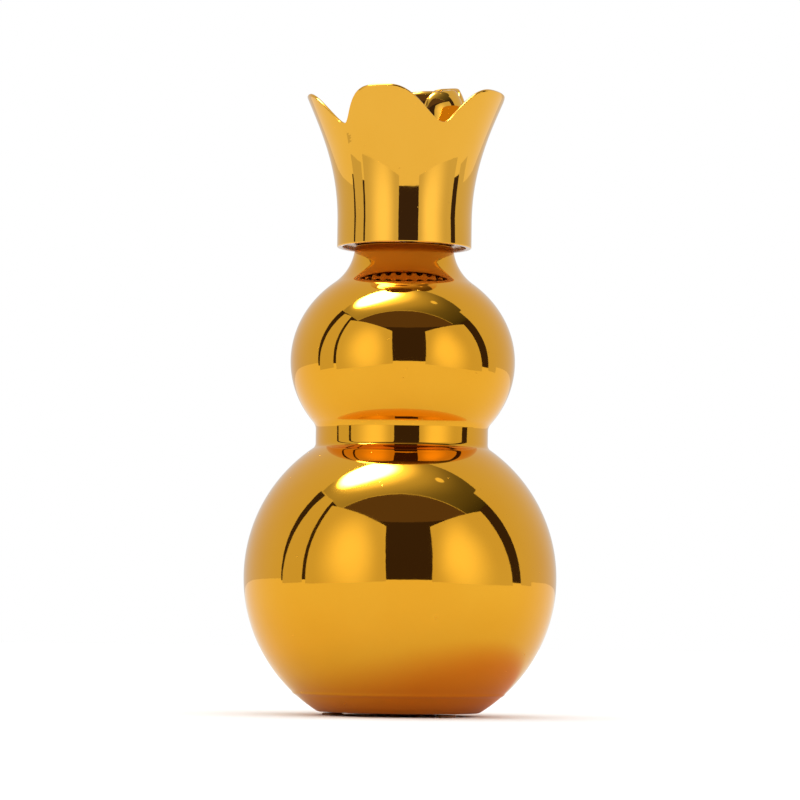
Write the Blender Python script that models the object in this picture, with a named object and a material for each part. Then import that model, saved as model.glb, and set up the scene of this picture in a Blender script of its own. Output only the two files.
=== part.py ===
"""Double gourd bottle of plated glass with a petalled crown cap.

Lengths are in metres. The bottle stands on the plane z = 0 and its axis is the Z axis.
Angles round the axis are counted from -Y, the front, towards +X.
"""

import math

import bmesh
import bpy

# Clearances
SEAT_GAP = 0.0003
BEAD_GAP = 0.0002
MERGE_DISTANCE = 0.00001
BODY_SEGMENTS = 40
FITMENT_SEGMENTS = 32
PAD_SEGMENTS = 12

# Foot pads
PAD_RADIUS = 0.0033
PAD_HEIGHT = 0.0008
PAD_ROUNDING = 0.00025
PAD_SETBACK = 0.00427
PAD_BEARINGS = {"foot_pad_left": -77.0, "foot_pad_right": 44.0, "foot_pad_back": 164.0}

# Lower globe, a sphere that is cut flat for the base
GLASS_WALL = 0.0035
LOWER_RADIUS = 0.0500
BASE_RADIUS = 0.02577
BASE_ROUNDING = 0.0020
BASE_RING_WIDTH = 0.00877
PUNT_HEIGHT = 0.0020
FLOOR_THICKNESS = 0.0055
FLOOR_ROUNDING = 0.0060

# Waist band between the globes
WAIST_RADIUS = 0.0276
WAIST_HEIGHT = 0.0069
WAIST_LOWER_FILLET = 0.0020
WAIST_UPPER_FILLET = 0.0035

# Upper globe, a flattened ball
UPPER_RADIUS = 0.0360
UPPER_HALF_HEIGHT = 0.0321

# Neck, and the finish that the cap screws on to
NECK_RADIUS = 0.0165
NECK_FLARE = 0.0090
NECK_STRAIGHT = 0.0032
SHOULDER_ROUNDING = 0.0010
FINISH_STEP = 0.0020
FINISH_HEIGHT = 0.0223
FINISH_ROOT_FILLET = 0.0006
FINISH_WALL = 0.0043
LIP_ROUNDING = 0.0008
MOUTH_EDGE = 0.0005
THROAT_RISE = 0.0008
THROAT_TAPER = 0.0030

# Pourer that is pressed into the mouth
POURER_SETBACK = 0.0013
POURER_FLANGE = 0.0010
POURER_WALL = 0.0012
POURER_LENGTH = 0.0200
SEAT_HOLE_RADIUS = 0.0020
SEAT_SLOPE_DEGREES = 45.0

# Check bead and the spout insert above it
BEAD_RADIUS = 0.0035
BEAD_LIFT = 0.0030
SPOUT_WALL = 0.0012
SPOUT_BAR_WIDTH = 0.0016
SPOUT_BAR_HEIGHT = 0.0012
SPOUT_BAR_RISE = 0.0003
SPOUT_RECESS = 0.0003
SPOUT_LIP_EDGE = 0.0004

# Screw closure with grip ribs, and its sealing disc
CLOSURE_RISE = 0.0006
THREAD_DEPTH = 0.0010
THREAD_CLEARANCE = 0.0004
CLOSURE_WALL = 0.0022
CLOSURE_TOP = 0.0016
CLOSURE_EDGE = 0.0005
RIB_COUNT = 24
RIB_STEPS = 4
RIB_HEIGHT = 0.0014
LINER_THICKNESS = 0.0015

# Crown shell: a straight skirt that flares into five petals
SKIRT_WALL = 0.0018
SKIRT_DROP = 0.0004
SKIRT_EDGE = 0.0004
DECK_THICKNESS = 0.0016
FLARE_START = 0.0082
FLARE_SPREAD = 0.0104
FLARE_HANDLE_SHARES = ((0.0, 0.419), (0.481, 0.690))
CROWN_SEGMENTS = 70
PETAL_HEIGHT = 0.0171
PETAL_ROOT_RISE = 0.0021
NOTCH_DEPTH = 0.0109
VALLEY_DEPTH = 0.0006
VALLEY_START = 0.0180
RIM_WALL = 0.0010

# Petals in order round the crown, each between the notch before it and the next one
NOTCH_BEARINGS = (-46.0, 26.5, 111.0, 169.5, 228.0)
TIP_BEARINGS = (-11.0, 69.0, 141.0, 198.0, 277.0)
TIP_RISES = (0.0, 0.0007, 0.0, 0.0, 0.0)
SHOULDER_POWERS = ((2.3, 1.2), (2.2, 1.9), (1.8, 1.8), (1.8, 1.8), (1.9, 1.4))

# Rose bud in the crown: one sheet rolled into a scroll that stands on a disc
BUD_SETBACK = 0.0014
BUD_DISC_SETBACK = 0.0012
BUD_DISC_THICKNESS = 0.0016
BUD_SHEET = 0.0011
BUD_SINK = 0.0008
BUD_START_RADIUS = 0.0040
BUD_PITCH = 0.0060
BUD_END_BEARING = 190.0
BUD_RIM_RISE = 0.0208
BUD_RIM_TILT = 0.0039
BUD_TILT_BEARING = 150.0
BUD_LOBE_EDGES = (196.0, 88.0, 8.0, -105.0, -200.0, -310.0, -410.0, -520.0, -640.0, -760.0, -900.0)
BUD_LOBE_DROP = 0.0095
BUD_LOBE_POWER = 2.0
BUD_CURL = 0.0018
BUD_END_DROP = 0.0070
BUD_END_SPAN = 25.0
BUD_BELLY_SHARE = 0.55
BUD_BELLY_CURVE_SHARE = 0.30
BUD_TURN_STEPS = 22
BUD_HEIGHT_STEPS = 4


def clear_scene():
    """Remove everything that the file holds at the start."""
    for thing in list(bpy.data.objects):
        bpy.data.objects.remove(thing, do_unlink=True)


def smooth_step(share):
    """Ease a share from 0 to 1 with level ends."""
    share = min(max(share, 0.0), 1.0)
    return share * share * (3.0 - 2.0 * share)


def bisect(rising, low, high):
    """Find where a rising function crosses zero between two values."""
    for _ in range(60):
        middle = (low + high) / 2
        if rising(middle) > 0:
            high = middle
        else:
            low = middle
    return (low + high) / 2


def arc(centre, radii, start, end, steps):
    """Points (radius, height) on an elliptical arc, with angles counted from level."""
    angles = [start + (end - start) * step / steps for step in range(steps + 1)]
    return [(centre[0] + radii[0] * math.cos(a), centre[1] + radii[1] * math.sin(a)) for a in angles]


def fillet_between(globe, post_radius, fillet_radius, side):
    """Angle on the globe and centre of the hollow fillet that leads to an upright post.

    The globe is (centre height, radius, half height), and side is 1 above it and -1 below it.
    """
    centre, radius, half_height = globe

    def fillet_centre(angle):
        across = math.cos(angle) / radius
        along = math.sin(angle) / half_height
        size = math.hypot(across, along)
        return (radius * math.cos(angle) + fillet_radius * across / size,
                half_height * math.sin(angle) + fillet_radius * along / size)

    target = post_radius + fillet_radius
    angle = bisect(lambda a: target - fillet_centre(a)[0], 0.0, math.pi / 2)
    rise = fillet_centre(angle)[1]
    slope = math.atan2(math.sin(angle) / half_height, math.cos(angle) / radius)
    return side * angle, centre + side * rise, side * slope


# Sizes of the base and the neck that follow from the sizes above
BASE_DEPTH = math.sqrt(LOWER_RADIUS ** 2 - BASE_RADIUS ** 2)
PUNT_RADIUS = BASE_RADIUS - BASE_RING_WIDTH
PAD_RING_RADIUS = BASE_RADIUS - PAD_SETBACK
FINISH_RADIUS = NECK_RADIUS - FINISH_STEP
MOUTH_RADIUS = FINISH_RADIUS - FINISH_WALL

# Heights of the glass
BASE_PLANE = PAD_HEIGHT + SEAT_GAP
LOWER_CENTRE = BASE_PLANE + BASE_DEPTH
WAIST_START = LOWER_CENTRE + math.sqrt(LOWER_RADIUS ** 2 - WAIST_RADIUS ** 2)
WAIST_END = WAIST_START + WAIST_HEIGHT
UPPER_CENTRE = WAIST_END + UPPER_HALF_HEIGHT * math.sqrt(1 - (WAIST_RADIUS / UPPER_RADIUS) ** 2)
NECK_START = fillet_between((UPPER_CENTRE, UPPER_RADIUS, UPPER_HALF_HEIGHT), NECK_RADIUS, NECK_FLARE, 1)[1]
SHOULDER = NECK_START + NECK_STRAIGHT
LIP = SHOULDER + FINISH_HEIGHT
THROAT = SHOULDER + THROAT_RISE
CAP_SEAT = SHOULDER - SKIRT_DROP

# Heights above the cap's seat
CAP_LIP = SKIRT_DROP + FINISH_HEIGHT
LINER_BOTTOM = CAP_LIP + SEAT_GAP + POURER_FLANGE + SEAT_GAP
CLOSURE_CEILING = LINER_BOTTOM + LINER_THICKNESS + SEAT_GAP
DECK_BOTTOM = CLOSURE_CEILING + CLOSURE_TOP + SEAT_GAP
DECK_TOP = DECK_BOTTOM + DECK_THICKNESS
BUD_BASE = DECK_TOP + SEAT_GAP
PETAL_ROOT = DECK_TOP + PETAL_ROOT_RISE
CROWN_HEIGHT = PETAL_ROOT + PETAL_HEIGHT

# Radii that follow from the fits
POURER_RADIUS = MOUTH_RADIUS - SEAT_GAP
POURER_FLANGE_RADIUS = FINISH_RADIUS - POURER_SETBACK
POURER_BORE = POURER_RADIUS - POURER_WALL
SPOUT_RADIUS = POURER_BORE - SEAT_GAP
SPOUT_BORE = SPOUT_RADIUS - SPOUT_WALL
CLOSURE_BORE = FINISH_RADIUS + THREAD_DEPTH + THREAD_CLEARANCE
CLOSURE_RADIUS = CLOSURE_BORE + CLOSURE_WALL
RIB_RADIUS = CLOSURE_RADIUS + RIB_HEIGHT
SKIRT_BORE = RIB_RADIUS + SEAT_GAP
SKIRT_RADIUS = SKIRT_BORE + SKIRT_WALL


def joined(*stretches):
    """Chain stretches of an outline and leave out points that repeat."""
    outline = []
    for point in (point for stretch in stretches for point in stretch):
        if not outline or math.dist(outline[-1], point) > MERGE_DISTANCE:
            outline.append(point)
    return outline


def gourd_side(inset, globe_steps, fillet_steps):
    """Side of the gourd, from the lower globe's level line up to the neck, at an inset."""
    lower = (LOWER_CENTRE, LOWER_RADIUS - inset, LOWER_RADIUS - inset)
    upper = (UPPER_CENTRE, UPPER_RADIUS - inset, UPPER_HALF_HEIGHT - inset)
    waist = WAIST_RADIUS - inset
    neck = NECK_RADIUS - inset
    low_fillet = WAIST_LOWER_FILLET + inset
    high_fillet = WAIST_UPPER_FILLET + inset
    flare = NECK_FLARE + inset
    low_angle, low_centre, low_slope = fillet_between(lower, waist, low_fillet, 1)
    high_angle, high_centre, high_slope = fillet_between(upper, waist, high_fillet, -1)
    neck_angle, neck_centre, neck_slope = fillet_between(upper, neck, flare, 1)
    return joined(
        arc((0, LOWER_CENTRE), lower[1:], 0.0, low_angle, globe_steps // 2),
        arc((waist + low_fillet, low_centre), (low_fillet, low_fillet),
            low_slope + math.pi, math.pi, fillet_steps)[1:],
        arc((waist + high_fillet, high_centre), (high_fillet, high_fillet),
            math.pi, high_slope + math.pi, fillet_steps)[:-1],
        arc((0, UPPER_CENTRE), upper[1:], high_angle, neck_angle, globe_steps),
        arc((neck + flare, neck_centre), (flare, flare),
            neck_slope + math.pi, math.pi, fillet_steps + 1)[1:],
    )


def outer_base():
    """Underside of the glass: the punt, the flat ring and the rounded edge up to the globe."""
    reach = math.sqrt((LOWER_RADIUS - BASE_ROUNDING) ** 2 - (BASE_DEPTH - BASE_ROUNDING) ** 2)
    slope = math.atan2(BASE_ROUNDING - BASE_DEPTH, reach)
    punt = [(PUNT_RADIUS * math.sin(a), BASE_PLANE + PUNT_HEIGHT * (1 + math.cos(2 * a)) / 2)
            for a in (math.pi / 2 * step / 3 for step in range(4))]
    return joined(
        punt,
        arc((reach, BASE_PLANE + BASE_ROUNDING), (BASE_ROUNDING, BASE_ROUNDING),
            -math.pi / 2, slope, 2),
        arc((0, LOWER_CENTRE), (LOWER_RADIUS, LOWER_RADIUS), slope, 0.0, 6)[1:],
    )


def inner_base():
    """Inside of the glass from the lower globe's level line down to the floor's centre."""
    radius = LOWER_RADIUS - GLASS_WALL
    depth = BASE_DEPTH - FLOOR_THICKNESS
    reach = math.sqrt((radius - FLOOR_ROUNDING) ** 2 - (depth - FLOOR_ROUNDING) ** 2)
    slope = math.atan2(FLOOR_ROUNDING - depth, reach)
    floor = LOWER_CENTRE - depth
    return joined(
        arc((0, LOWER_CENTRE), (radius, radius), 0.0, slope, 4),
        arc((reach, floor + FLOOR_ROUNDING), (FLOOR_ROUNDING, FLOOR_ROUNDING),
            slope, -math.pi / 2, 2)[1:],
        [(0, floor)],
    )


def finish_outline():
    """Outside of the finish, from the neck over the lip and down the throat."""
    quarter = math.pi / 2
    return joined(
        arc((NECK_RADIUS - SHOULDER_ROUNDING, SHOULDER - SHOULDER_ROUNDING),
            (SHOULDER_ROUNDING, SHOULDER_ROUNDING), 0.0, quarter, 1),
        arc((FINISH_RADIUS + FINISH_ROOT_FILLET, SHOULDER + FINISH_ROOT_FILLET),
            (FINISH_ROOT_FILLET, FINISH_ROOT_FILLET), -quarter, -2 * quarter, 1),
        arc((FINISH_RADIUS - LIP_ROUNDING, LIP - LIP_ROUNDING),
            (LIP_ROUNDING, LIP_ROUNDING), 0.0, quarter, 1),
        [(MOUTH_RADIUS + MOUTH_EDGE, LIP), (MOUTH_RADIUS, LIP - MOUTH_EDGE), (MOUTH_RADIUS, THROAT),
         (NECK_RADIUS - GLASS_WALL, THROAT - THROAT_TAPER)],
    )


def glass_outline():
    """Whole section of the glass, from the punt up the outside and down the inside."""
    inside = gourd_side(GLASS_WALL, 6, 1)
    return joined(outer_base(), gourd_side(0.0, 12, 2), finish_outline(), inside[::-1], inner_base())


def petal_at(angle):
    """Fall of the rim at an angle, 0 on a tip and 1 in a notch, and the rise of that petal's tip."""
    first = NOTCH_BEARINGS[0]
    bearing = (math.degrees(angle) - first) % 360 + first
    ends = NOTCH_BEARINGS[1:] + (first + 360,)
    for start, tip, end, rise, powers in zip(NOTCH_BEARINGS, TIP_BEARINGS, ends, TIP_RISES, SHOULDER_POWERS):
        if bearing < tip:
            return smooth_step(((tip - bearing) / (tip - start)) ** powers[0]), rise
        if bearing <= end:
            return smooth_step(((bearing - tip) / (end - tip)) ** powers[1]), rise
    return 1.0, 0.0


def flare_point(share):
    """Point (radius, height) of the crown's outer line at a share of its curve."""
    rise = CROWN_HEIGHT - FLARE_START
    shares = ((0.0, 0.0),) + FLARE_HANDLE_SHARES + ((1.0, 1.0),)
    weights = ((1 - share) ** 3, 3 * share * (1 - share) ** 2, 3 * share ** 2 * (1 - share), share ** 3)
    across = sum(weight * pair[0] for weight, pair in zip(weights, shares))
    along = sum(weight * pair[1] for weight, pair in zip(weights, shares))
    return SKIRT_RADIUS + FLARE_SPREAD * across, FLARE_START + rise * along


def flare_radius(height):
    """Outer radius of the crown at a height above the cap's seat."""
    if height <= FLARE_START:
        return SKIRT_RADIUS
    share = bisect(lambda s: flare_point(s)[1] - height, 0.0, 1.0)
    return flare_point(share)[0]


# Radii of the rose bud, set in from the crown's wall at the deck
BUD_END_RADIUS = flare_radius(DECK_TOP) - SKIRT_WALL - BUD_SETBACK
BUD_DISC_RADIUS = BUD_END_RADIUS - BUD_DISC_SETBACK


def crown_wall(height):
    """Thickness of the crown, thinner towards the rim."""
    share = (height - DECK_TOP) / (CROWN_HEIGHT - DECK_TOP)
    return SKIRT_WALL + (RIM_WALL - SKIRT_WALL) * min(max(share, 0.0), 1.0)


def crown_outline():
    """Section of the crown through a petal's tip, in the cap's own heights."""
    half_rim = RIM_WALL / 2
    shoulder = CROWN_HEIGHT - half_rim
    under = [DECK_BOTTOM + (FLARE_START - DECK_BOTTOM) * step / 3 for step in range(4)]
    low = [FLARE_START + (PETAL_ROOT - FLARE_START) * step / 5 for step in range(5)]
    high = [PETAL_ROOT + (shoulder - PETAL_ROOT) * step / 6 for step in range(7)]
    outside = [(flare_radius(z), z) for z in low + high]
    inside = [(flare_radius(z) - crown_wall(z), z) for z in high]
    rim = arc((flare_radius(shoulder) - half_rim, shoulder), (half_rim, half_rim), 0.0, math.pi, 4)
    return joined(
        [(0, DECK_BOTTOM)],
        [(flare_radius(z) - SKIRT_WALL, z) for z in under],
        [(SKIRT_BORE, SKIRT_EDGE), (SKIRT_BORE + SKIRT_EDGE, 0),
         (SKIRT_RADIUS - SKIRT_EDGE, 0), (SKIRT_RADIUS, SKIRT_EDGE)],
        outside,
        rim[1:-1],
        inside[::-1],
        [(flare_radius(DECK_TOP) - SKIRT_WALL, DECK_TOP), (0, DECK_TOP)],
    )


def turned(outline, segments):
    """Spin an outline of (radius, height) points into a closed body round the Z axis."""
    mesh = bmesh.new()
    points = [mesh.verts.new((radius, 0, height)) for radius, height in outline]
    pairs = list(zip(points, points[1:]))
    if outline[0][0] > 0:
        pairs.append((points[-1], points[0]))
    edges = [mesh.edges.new(pair) for pair in pairs]
    bmesh.ops.spin(mesh, geom=points + edges, cent=(0, 0, 0), axis=(0, 0, 1),
                   angle=2 * math.pi, steps=segments, use_merge=True)
    bmesh.ops.remove_doubles(mesh, verts=mesh.verts[:], dist=MERGE_DISTANCE)
    bmesh.ops.recalc_face_normals(mesh, faces=mesh.faces[:])
    return mesh


def bearing_of(vert):
    """Angle of a vertex round the axis, from the front towards +X."""
    return math.atan2(vert.co.x, -vert.co.y)


def set_radius(vert, radius):
    """Move a vertex to a radius and leave its bearing and height."""
    share = radius / math.hypot(vert.co.x, vert.co.y)
    vert.co.x *= share
    vert.co.y *= share


def material(name, colour, roughness, metallic):
    """Principled material of one plain colour."""
    made = bpy.data.materials.new(name)
    made.use_nodes = True
    shader = made.node_tree.nodes["Principled BSDF"]
    shader.inputs["Base Color"].default_value = (*colour, 1.0)
    shader.inputs["Roughness"].default_value = roughness
    shader.inputs["Metallic"].default_value = metallic
    made.diffuse_color = (*colour, 1.0)
    return made


def placed(name, mesh, finish, parent=None, location=(0, 0, 0), sharp_degrees=35.0):
    """Turn a bmesh into a named object with its material and place it."""
    data = bpy.data.meshes.new(name)
    mesh.to_mesh(data)
    mesh.free()
    data.shade_smooth()
    data.set_sharp_from_angle(angle=math.radians(sharp_degrees))
    data.materials.append(finish)
    thing = bpy.data.objects.new(name, data)
    thing.parent = parent
    thing.location = location
    bpy.context.collection.objects.link(thing)
    return thing


def empty(name, height, parent=None):
    """Empty on the bottle's axis that carries an assembly."""
    thing = bpy.data.objects.new(name, None)
    thing.parent = parent
    thing.location = (0, 0, height)
    bpy.context.collection.objects.link(thing)
    return thing


def add_union(thing, tool):
    """Fuse a guide body into a piece and keep the guide out of the build."""
    tool.hide_render = True
    tool.display_type = "WIRE"
    union = thing.modifiers.new("join " + tool.name, "BOOLEAN")
    union.operation = "UNION"
    union.object = tool


def build_glass(finish):
    """Blown body with its waist band, neck, finish and mouth."""
    return placed("bottle_body", turned(glass_outline(), BODY_SEGMENTS), finish)


def build_foot_pads(finish):
    """Three pads under the flat ring of the base."""
    quarter = math.pi / 2
    edge = (PAD_ROUNDING, PAD_ROUNDING)
    reach = PAD_RADIUS - PAD_ROUNDING
    outline = joined(
        [(0, 0)],
        arc((reach, PAD_ROUNDING), edge, -quarter, 0.0, 2),
        arc((reach, PAD_HEIGHT - PAD_ROUNDING), edge, 0.0, quarter, 2),
        [(0, PAD_HEIGHT)],
    )
    for name, bearing in PAD_BEARINGS.items():
        angle = math.radians(bearing)
        spot = (PAD_RING_RADIUS * math.sin(angle), -PAD_RING_RADIUS * math.cos(angle), 0)
        placed(name, turned(outline, PAD_SEGMENTS), finish, location=spot)


def bead_rest():
    """Height of the bead's centre above the pourer's lower end."""
    slope = math.radians(SEAT_SLOPE_DEGREES)
    apex = POURER_WALL - SEAT_HOLE_RADIUS * math.tan(slope)
    return apex + (BEAD_RADIUS + BEAD_GAP) / math.cos(slope)


def build_pourer(finish, lip):
    """Plug with a flange on the lip and a cone at its foot that the bead seats in."""
    slope = math.radians(SEAT_SLOPE_DEGREES)
    foot = SEAT_GAP - POURER_LENGTH
    cone_top = foot + POURER_WALL + (POURER_BORE - SEAT_HOLE_RADIUS) * math.tan(slope)
    flange_top = SEAT_GAP + POURER_FLANGE
    outline = [
        (SEAT_HOLE_RADIUS, foot),
        (POURER_RADIUS - MOUTH_EDGE, foot),
        (POURER_RADIUS, foot + MOUTH_EDGE),
        (POURER_RADIUS, SEAT_GAP),
        (POURER_FLANGE_RADIUS, SEAT_GAP),
        (POURER_FLANGE_RADIUS, flange_top - SPOUT_LIP_EDGE),
        (POURER_FLANGE_RADIUS - SPOUT_LIP_EDGE, flange_top),
        (POURER_BORE, flange_top),
        (POURER_BORE, cone_top),
        (SEAT_HOLE_RADIUS, foot + POURER_WALL),
    ]
    return placed("pourer_body", turned(outline, FITMENT_SEGMENTS), finish, lip)


def build_bead(finish, lip):
    """Glass bead that stops air and lets the drink past when the bottle tips."""
    mesh = bmesh.new()
    bmesh.ops.create_uvsphere(mesh, u_segments=16, v_segments=10, radius=BEAD_RADIUS)
    centre = SEAT_GAP - POURER_LENGTH + bead_rest()
    return placed("check_bead", mesh, finish, lip, (0, 0, centre))


def build_spout(finish, lip):
    """Sleeve in the pourer whose crossed bars hold the bead down."""
    top = SEAT_GAP + POURER_FLANGE - SPOUT_RECESS
    bead_top = SEAT_GAP - POURER_LENGTH + bead_rest() + BEAD_RADIUS
    foot = bead_top + BEAD_LIFT + SEAT_GAP
    bar_height = foot + SPOUT_BAR_RISE + SPOUT_BAR_HEIGHT / 2
    outline = [
        (SPOUT_BORE, foot),
        (SPOUT_RADIUS, foot),
        (SPOUT_RADIUS, top),
        (SPOUT_BORE + SPOUT_LIP_EDGE, top),
        (SPOUT_BORE, top - SPOUT_LIP_EDGE),
    ]
    spout = placed("pour_spout", turned(outline, FITMENT_SEGMENTS), finish, lip)
    for name, bearing in (("spout_bar_guide_a", 0.0), ("spout_bar_guide_b", 90.0)):
        mesh = bmesh.new()
        bmesh.ops.create_cube(mesh, size=1.0)
        span = SPOUT_BORE + SPOUT_RADIUS
        bmesh.ops.scale(mesh, vec=(span, SPOUT_BAR_WIDTH, SPOUT_BAR_HEIGHT), verts=mesh.verts[:])
        bar = placed(name, mesh, finish, lip, (0, 0, bar_height))
        bar.rotation_euler.z = math.radians(bearing)
        add_union(spout, bar)
    return spout


def build_closure(finish, cap):
    """Screw closure: a ribbed cup that the crown shell is pressed over."""
    foot = SKIRT_DROP + CLOSURE_RISE
    top = CLOSURE_CEILING + CLOSURE_TOP
    outline = [
        (0, CLOSURE_CEILING),
        (CLOSURE_BORE, CLOSURE_CEILING),
        (CLOSURE_BORE, foot + CLOSURE_EDGE),
        (CLOSURE_BORE + CLOSURE_EDGE, foot),
        (RIB_RADIUS - CLOSURE_EDGE, foot),
        (RIB_RADIUS, foot + CLOSURE_EDGE),
        (RIB_RADIUS, top - CLOSURE_EDGE),
        (RIB_RADIUS - CLOSURE_EDGE, top),
        (0, top),
    ]
    mesh = turned(outline, RIB_COUNT * RIB_STEPS)
    pitch = 2 * math.pi / RIB_COUNT
    for vert in mesh.verts:
        reach = math.hypot(vert.co.x, vert.co.y)
        share = (bearing_of(vert) / pitch + 0.5 / RIB_STEPS) % 1
        if reach > CLOSURE_RADIUS and abs(share - 0.5) > 0.25:
            set_radius(vert, reach - RIB_HEIGHT)
    return placed("inner_closure", mesh, finish, cap)


def build_liner(finish, cap):
    """Foam disc between the closure and the pourer's flange."""
    radius = CLOSURE_BORE - SEAT_GAP
    outline = [(0, 0), (radius, 0), (radius, LINER_THICKNESS), (0, LINER_THICKNESS)]
    return placed("closure_liner", turned(outline, FITMENT_SEGMENTS), finish, cap, (0, 0, LINER_BOTTOM))


def build_crown(finish, cap):
    """Crown shell, spun through a petal's tip and then drawn down to its notches."""
    mesh = turned(crown_outline(), CROWN_SEGMENTS)
    notch = CROWN_HEIGHT - NOTCH_DEPTH
    for vert in mesh.verts:
        height = vert.co.z
        reach = math.hypot(vert.co.x, vert.co.y)
        if height <= VALLEY_START or reach < flare_radius(height) - 2 * SKIRT_WALL:
            continue
        fall, rise = petal_at(bearing_of(vert))
        inset = flare_radius(height) - reach
        if height > PETAL_ROOT:
            height += (height - PETAL_ROOT) / PETAL_HEIGHT * (rise * (1 - fall) - NOTCH_DEPTH * fall)
        depth = smooth_step((height - VALLEY_START) / (notch - VALLEY_START))
        outside = inset < SKIRT_WALL / 2 or height > PETAL_ROOT
        valley = VALLEY_DEPTH * fall * depth if outside else 0
        set_radius(vert, flare_radius(height) - inset - valley)
        vert.co.z = height
    return placed("crown_shell", mesh, finish, cap)


def lobe_fall(bearing):
    """Share of a bud lobe's drop at a bearing in degrees: 0 on its tip, 1 where two lobes meet."""
    for high, low in zip(BUD_LOBE_EDGES, BUD_LOBE_EDGES[1:]):
        if low <= bearing <= high:
            aside = abs(2 * (bearing - low) / (high - low) - 1)
            return smooth_step(aside ** BUD_LOBE_POWER)
    return 1.0


def bud_point(along, up):
    """Point of the bud's sheet: along the roll from its heart, and up from its disc."""
    turns = (BUD_END_RADIUS - BUD_START_RADIUS) / BUD_PITCH
    degrees = BUD_END_BEARING - 360.0 * turns * (1 - along)
    bearing = math.radians(degrees)
    roll_radius = BUD_START_RADIUS + (BUD_END_RADIUS - BUD_START_RADIUS) * along
    tilt = math.cos(bearing - math.radians(BUD_TILT_BEARING))
    to_end = (BUD_END_BEARING - degrees) / BUD_END_SPAN
    rim = BUD_RIM_RISE + (BUD_RIM_TILT * tilt - BUD_LOBE_DROP * lobe_fall(degrees)) * along
    rim -= BUD_END_DROP * smooth_step(1 - to_end)
    bulge = 1 - BUD_BELLY_CURVE_SHARE * (up - BUD_BELLY_SHARE) ** 2
    curl = BUD_CURL * (1 - lobe_fall(degrees)) * along * up ** 3
    radius = roll_radius * bulge + curl
    foot = BUD_DISC_THICKNESS - BUD_SINK
    height = foot + (rim - foot) * up
    return radius * math.sin(bearing), -radius * math.cos(bearing), height


def build_bud(finish, cap):
    """Rose bud: a grid rolled into a scroll of lobes, thickened and fused to its disc."""
    turns = (BUD_END_RADIUS - BUD_START_RADIUS) / BUD_PITCH
    mesh = bmesh.new()
    bmesh.ops.create_grid(mesh, x_segments=round(turns * BUD_TURN_STEPS),
                          y_segments=BUD_HEIGHT_STEPS, size=1.0)
    for vert in mesh.verts:
        vert.co = bud_point((vert.co.x + 1) / 2, (vert.co.y + 1) / 2)
    bmesh.ops.recalc_face_normals(mesh, faces=mesh.faces[:])
    bud = placed("rose_bud", mesh, finish, cap, (0, 0, BUD_BASE))
    sheet = bud.modifiers.new("sheet", "SOLIDIFY")
    sheet.thickness = BUD_SHEET
    sheet.offset = 0.0
    outline = [(0, 0), (BUD_DISC_RADIUS, 0), (BUD_DISC_RADIUS, BUD_DISC_THICKNESS), (0, BUD_DISC_THICKNESS)]
    disc = placed("bud_disc_guide", turned(outline, FITMENT_SEGMENTS), finish, cap, (0, 0, BUD_BASE))
    add_union(bud, disc)
    return bud


def build():
    """Make the bottle, its fitment and its cap."""
    clear_scene()
    glass_gold = material("glass_gold", (0.83, 0.43, 0.06), 0.06, 1.0)
    cap_gold = material("cap_gold", (0.86, 0.55, 0.12), 0.08, 1.0)
    closure_gold = material("closure_gold", (0.80, 0.46, 0.10), 0.25, 1.0)
    pad_rubber = material("pad_rubber", (0.30, 0.14, 0.03), 0.50, 0.0)
    fitment_white = material("fitment_white", (0.86, 0.86, 0.83), 0.40, 0.0)
    foam_white = material("foam_white", (0.90, 0.90, 0.88), 0.80, 0.0)
    bead_glass = material("bead_glass", (0.75, 0.85, 0.82), 0.05, 0.0)

    build_glass(glass_gold)
    build_foot_pads(pad_rubber)

    lip = empty("lip_frame", LIP)
    build_pourer(fitment_white, lip)
    build_bead(bead_glass, lip)
    build_spout(fitment_white, lip)

    cap = empty("cap_frame", CAP_SEAT)
    build_liner(foam_white, cap)
    build_closure(closure_gold, cap)
    build_crown(cap_gold, cap)
    build_bud(cap_gold, cap)


build()
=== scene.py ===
"""Looks of the double gourd bottle: plated glass, petal crown cap, pourer fitment and studio.

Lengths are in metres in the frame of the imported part. The bottle's axis is the Z axis, and
bearings are counted from -Y, the front, towards +X.
"""

import logging
import math
from collections.abc import Callable, Iterable
from dataclasses import dataclass
from enum import Enum

import bmesh
import bpy
from mathutils import Matrix, Vector


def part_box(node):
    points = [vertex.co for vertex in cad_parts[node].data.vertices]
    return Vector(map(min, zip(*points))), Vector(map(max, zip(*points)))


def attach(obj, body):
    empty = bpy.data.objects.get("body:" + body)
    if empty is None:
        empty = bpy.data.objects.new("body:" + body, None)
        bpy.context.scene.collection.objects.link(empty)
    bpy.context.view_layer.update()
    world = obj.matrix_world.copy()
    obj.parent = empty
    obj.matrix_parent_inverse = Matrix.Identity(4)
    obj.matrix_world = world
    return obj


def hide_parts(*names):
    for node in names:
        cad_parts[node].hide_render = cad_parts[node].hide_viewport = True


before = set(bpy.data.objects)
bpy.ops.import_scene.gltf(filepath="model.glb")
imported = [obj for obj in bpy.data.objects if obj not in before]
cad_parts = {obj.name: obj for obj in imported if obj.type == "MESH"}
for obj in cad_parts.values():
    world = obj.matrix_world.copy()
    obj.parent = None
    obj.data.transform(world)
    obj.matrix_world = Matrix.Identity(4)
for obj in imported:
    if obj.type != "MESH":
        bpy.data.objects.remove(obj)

Point = tuple[float, float]
Place = tuple[float, float, float]
Colour = tuple[float, float, float]
Socket = bpy.types.NodeSocket
Value = bpy.types.NodeSocket | float | Colour

LOG = logging.getLogger("gourd_bottle")
MERGE_DISTANCE = 0.000005
SHARP_ANGLE = 40.0
HALVINGS = 50
QUARTER = math.pi / 2


class Slot(Enum):
    """Material slots of the record."""

    GLASS = "glass_gold"
    CAP = "cap_gold"
    CLOSURE = "closure_gold"
    PAD = "pad_rubber"
    FITMENT = "fitment_white"
    FOAM = "foam_white"
    BEAD = "bead_glass"


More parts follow.
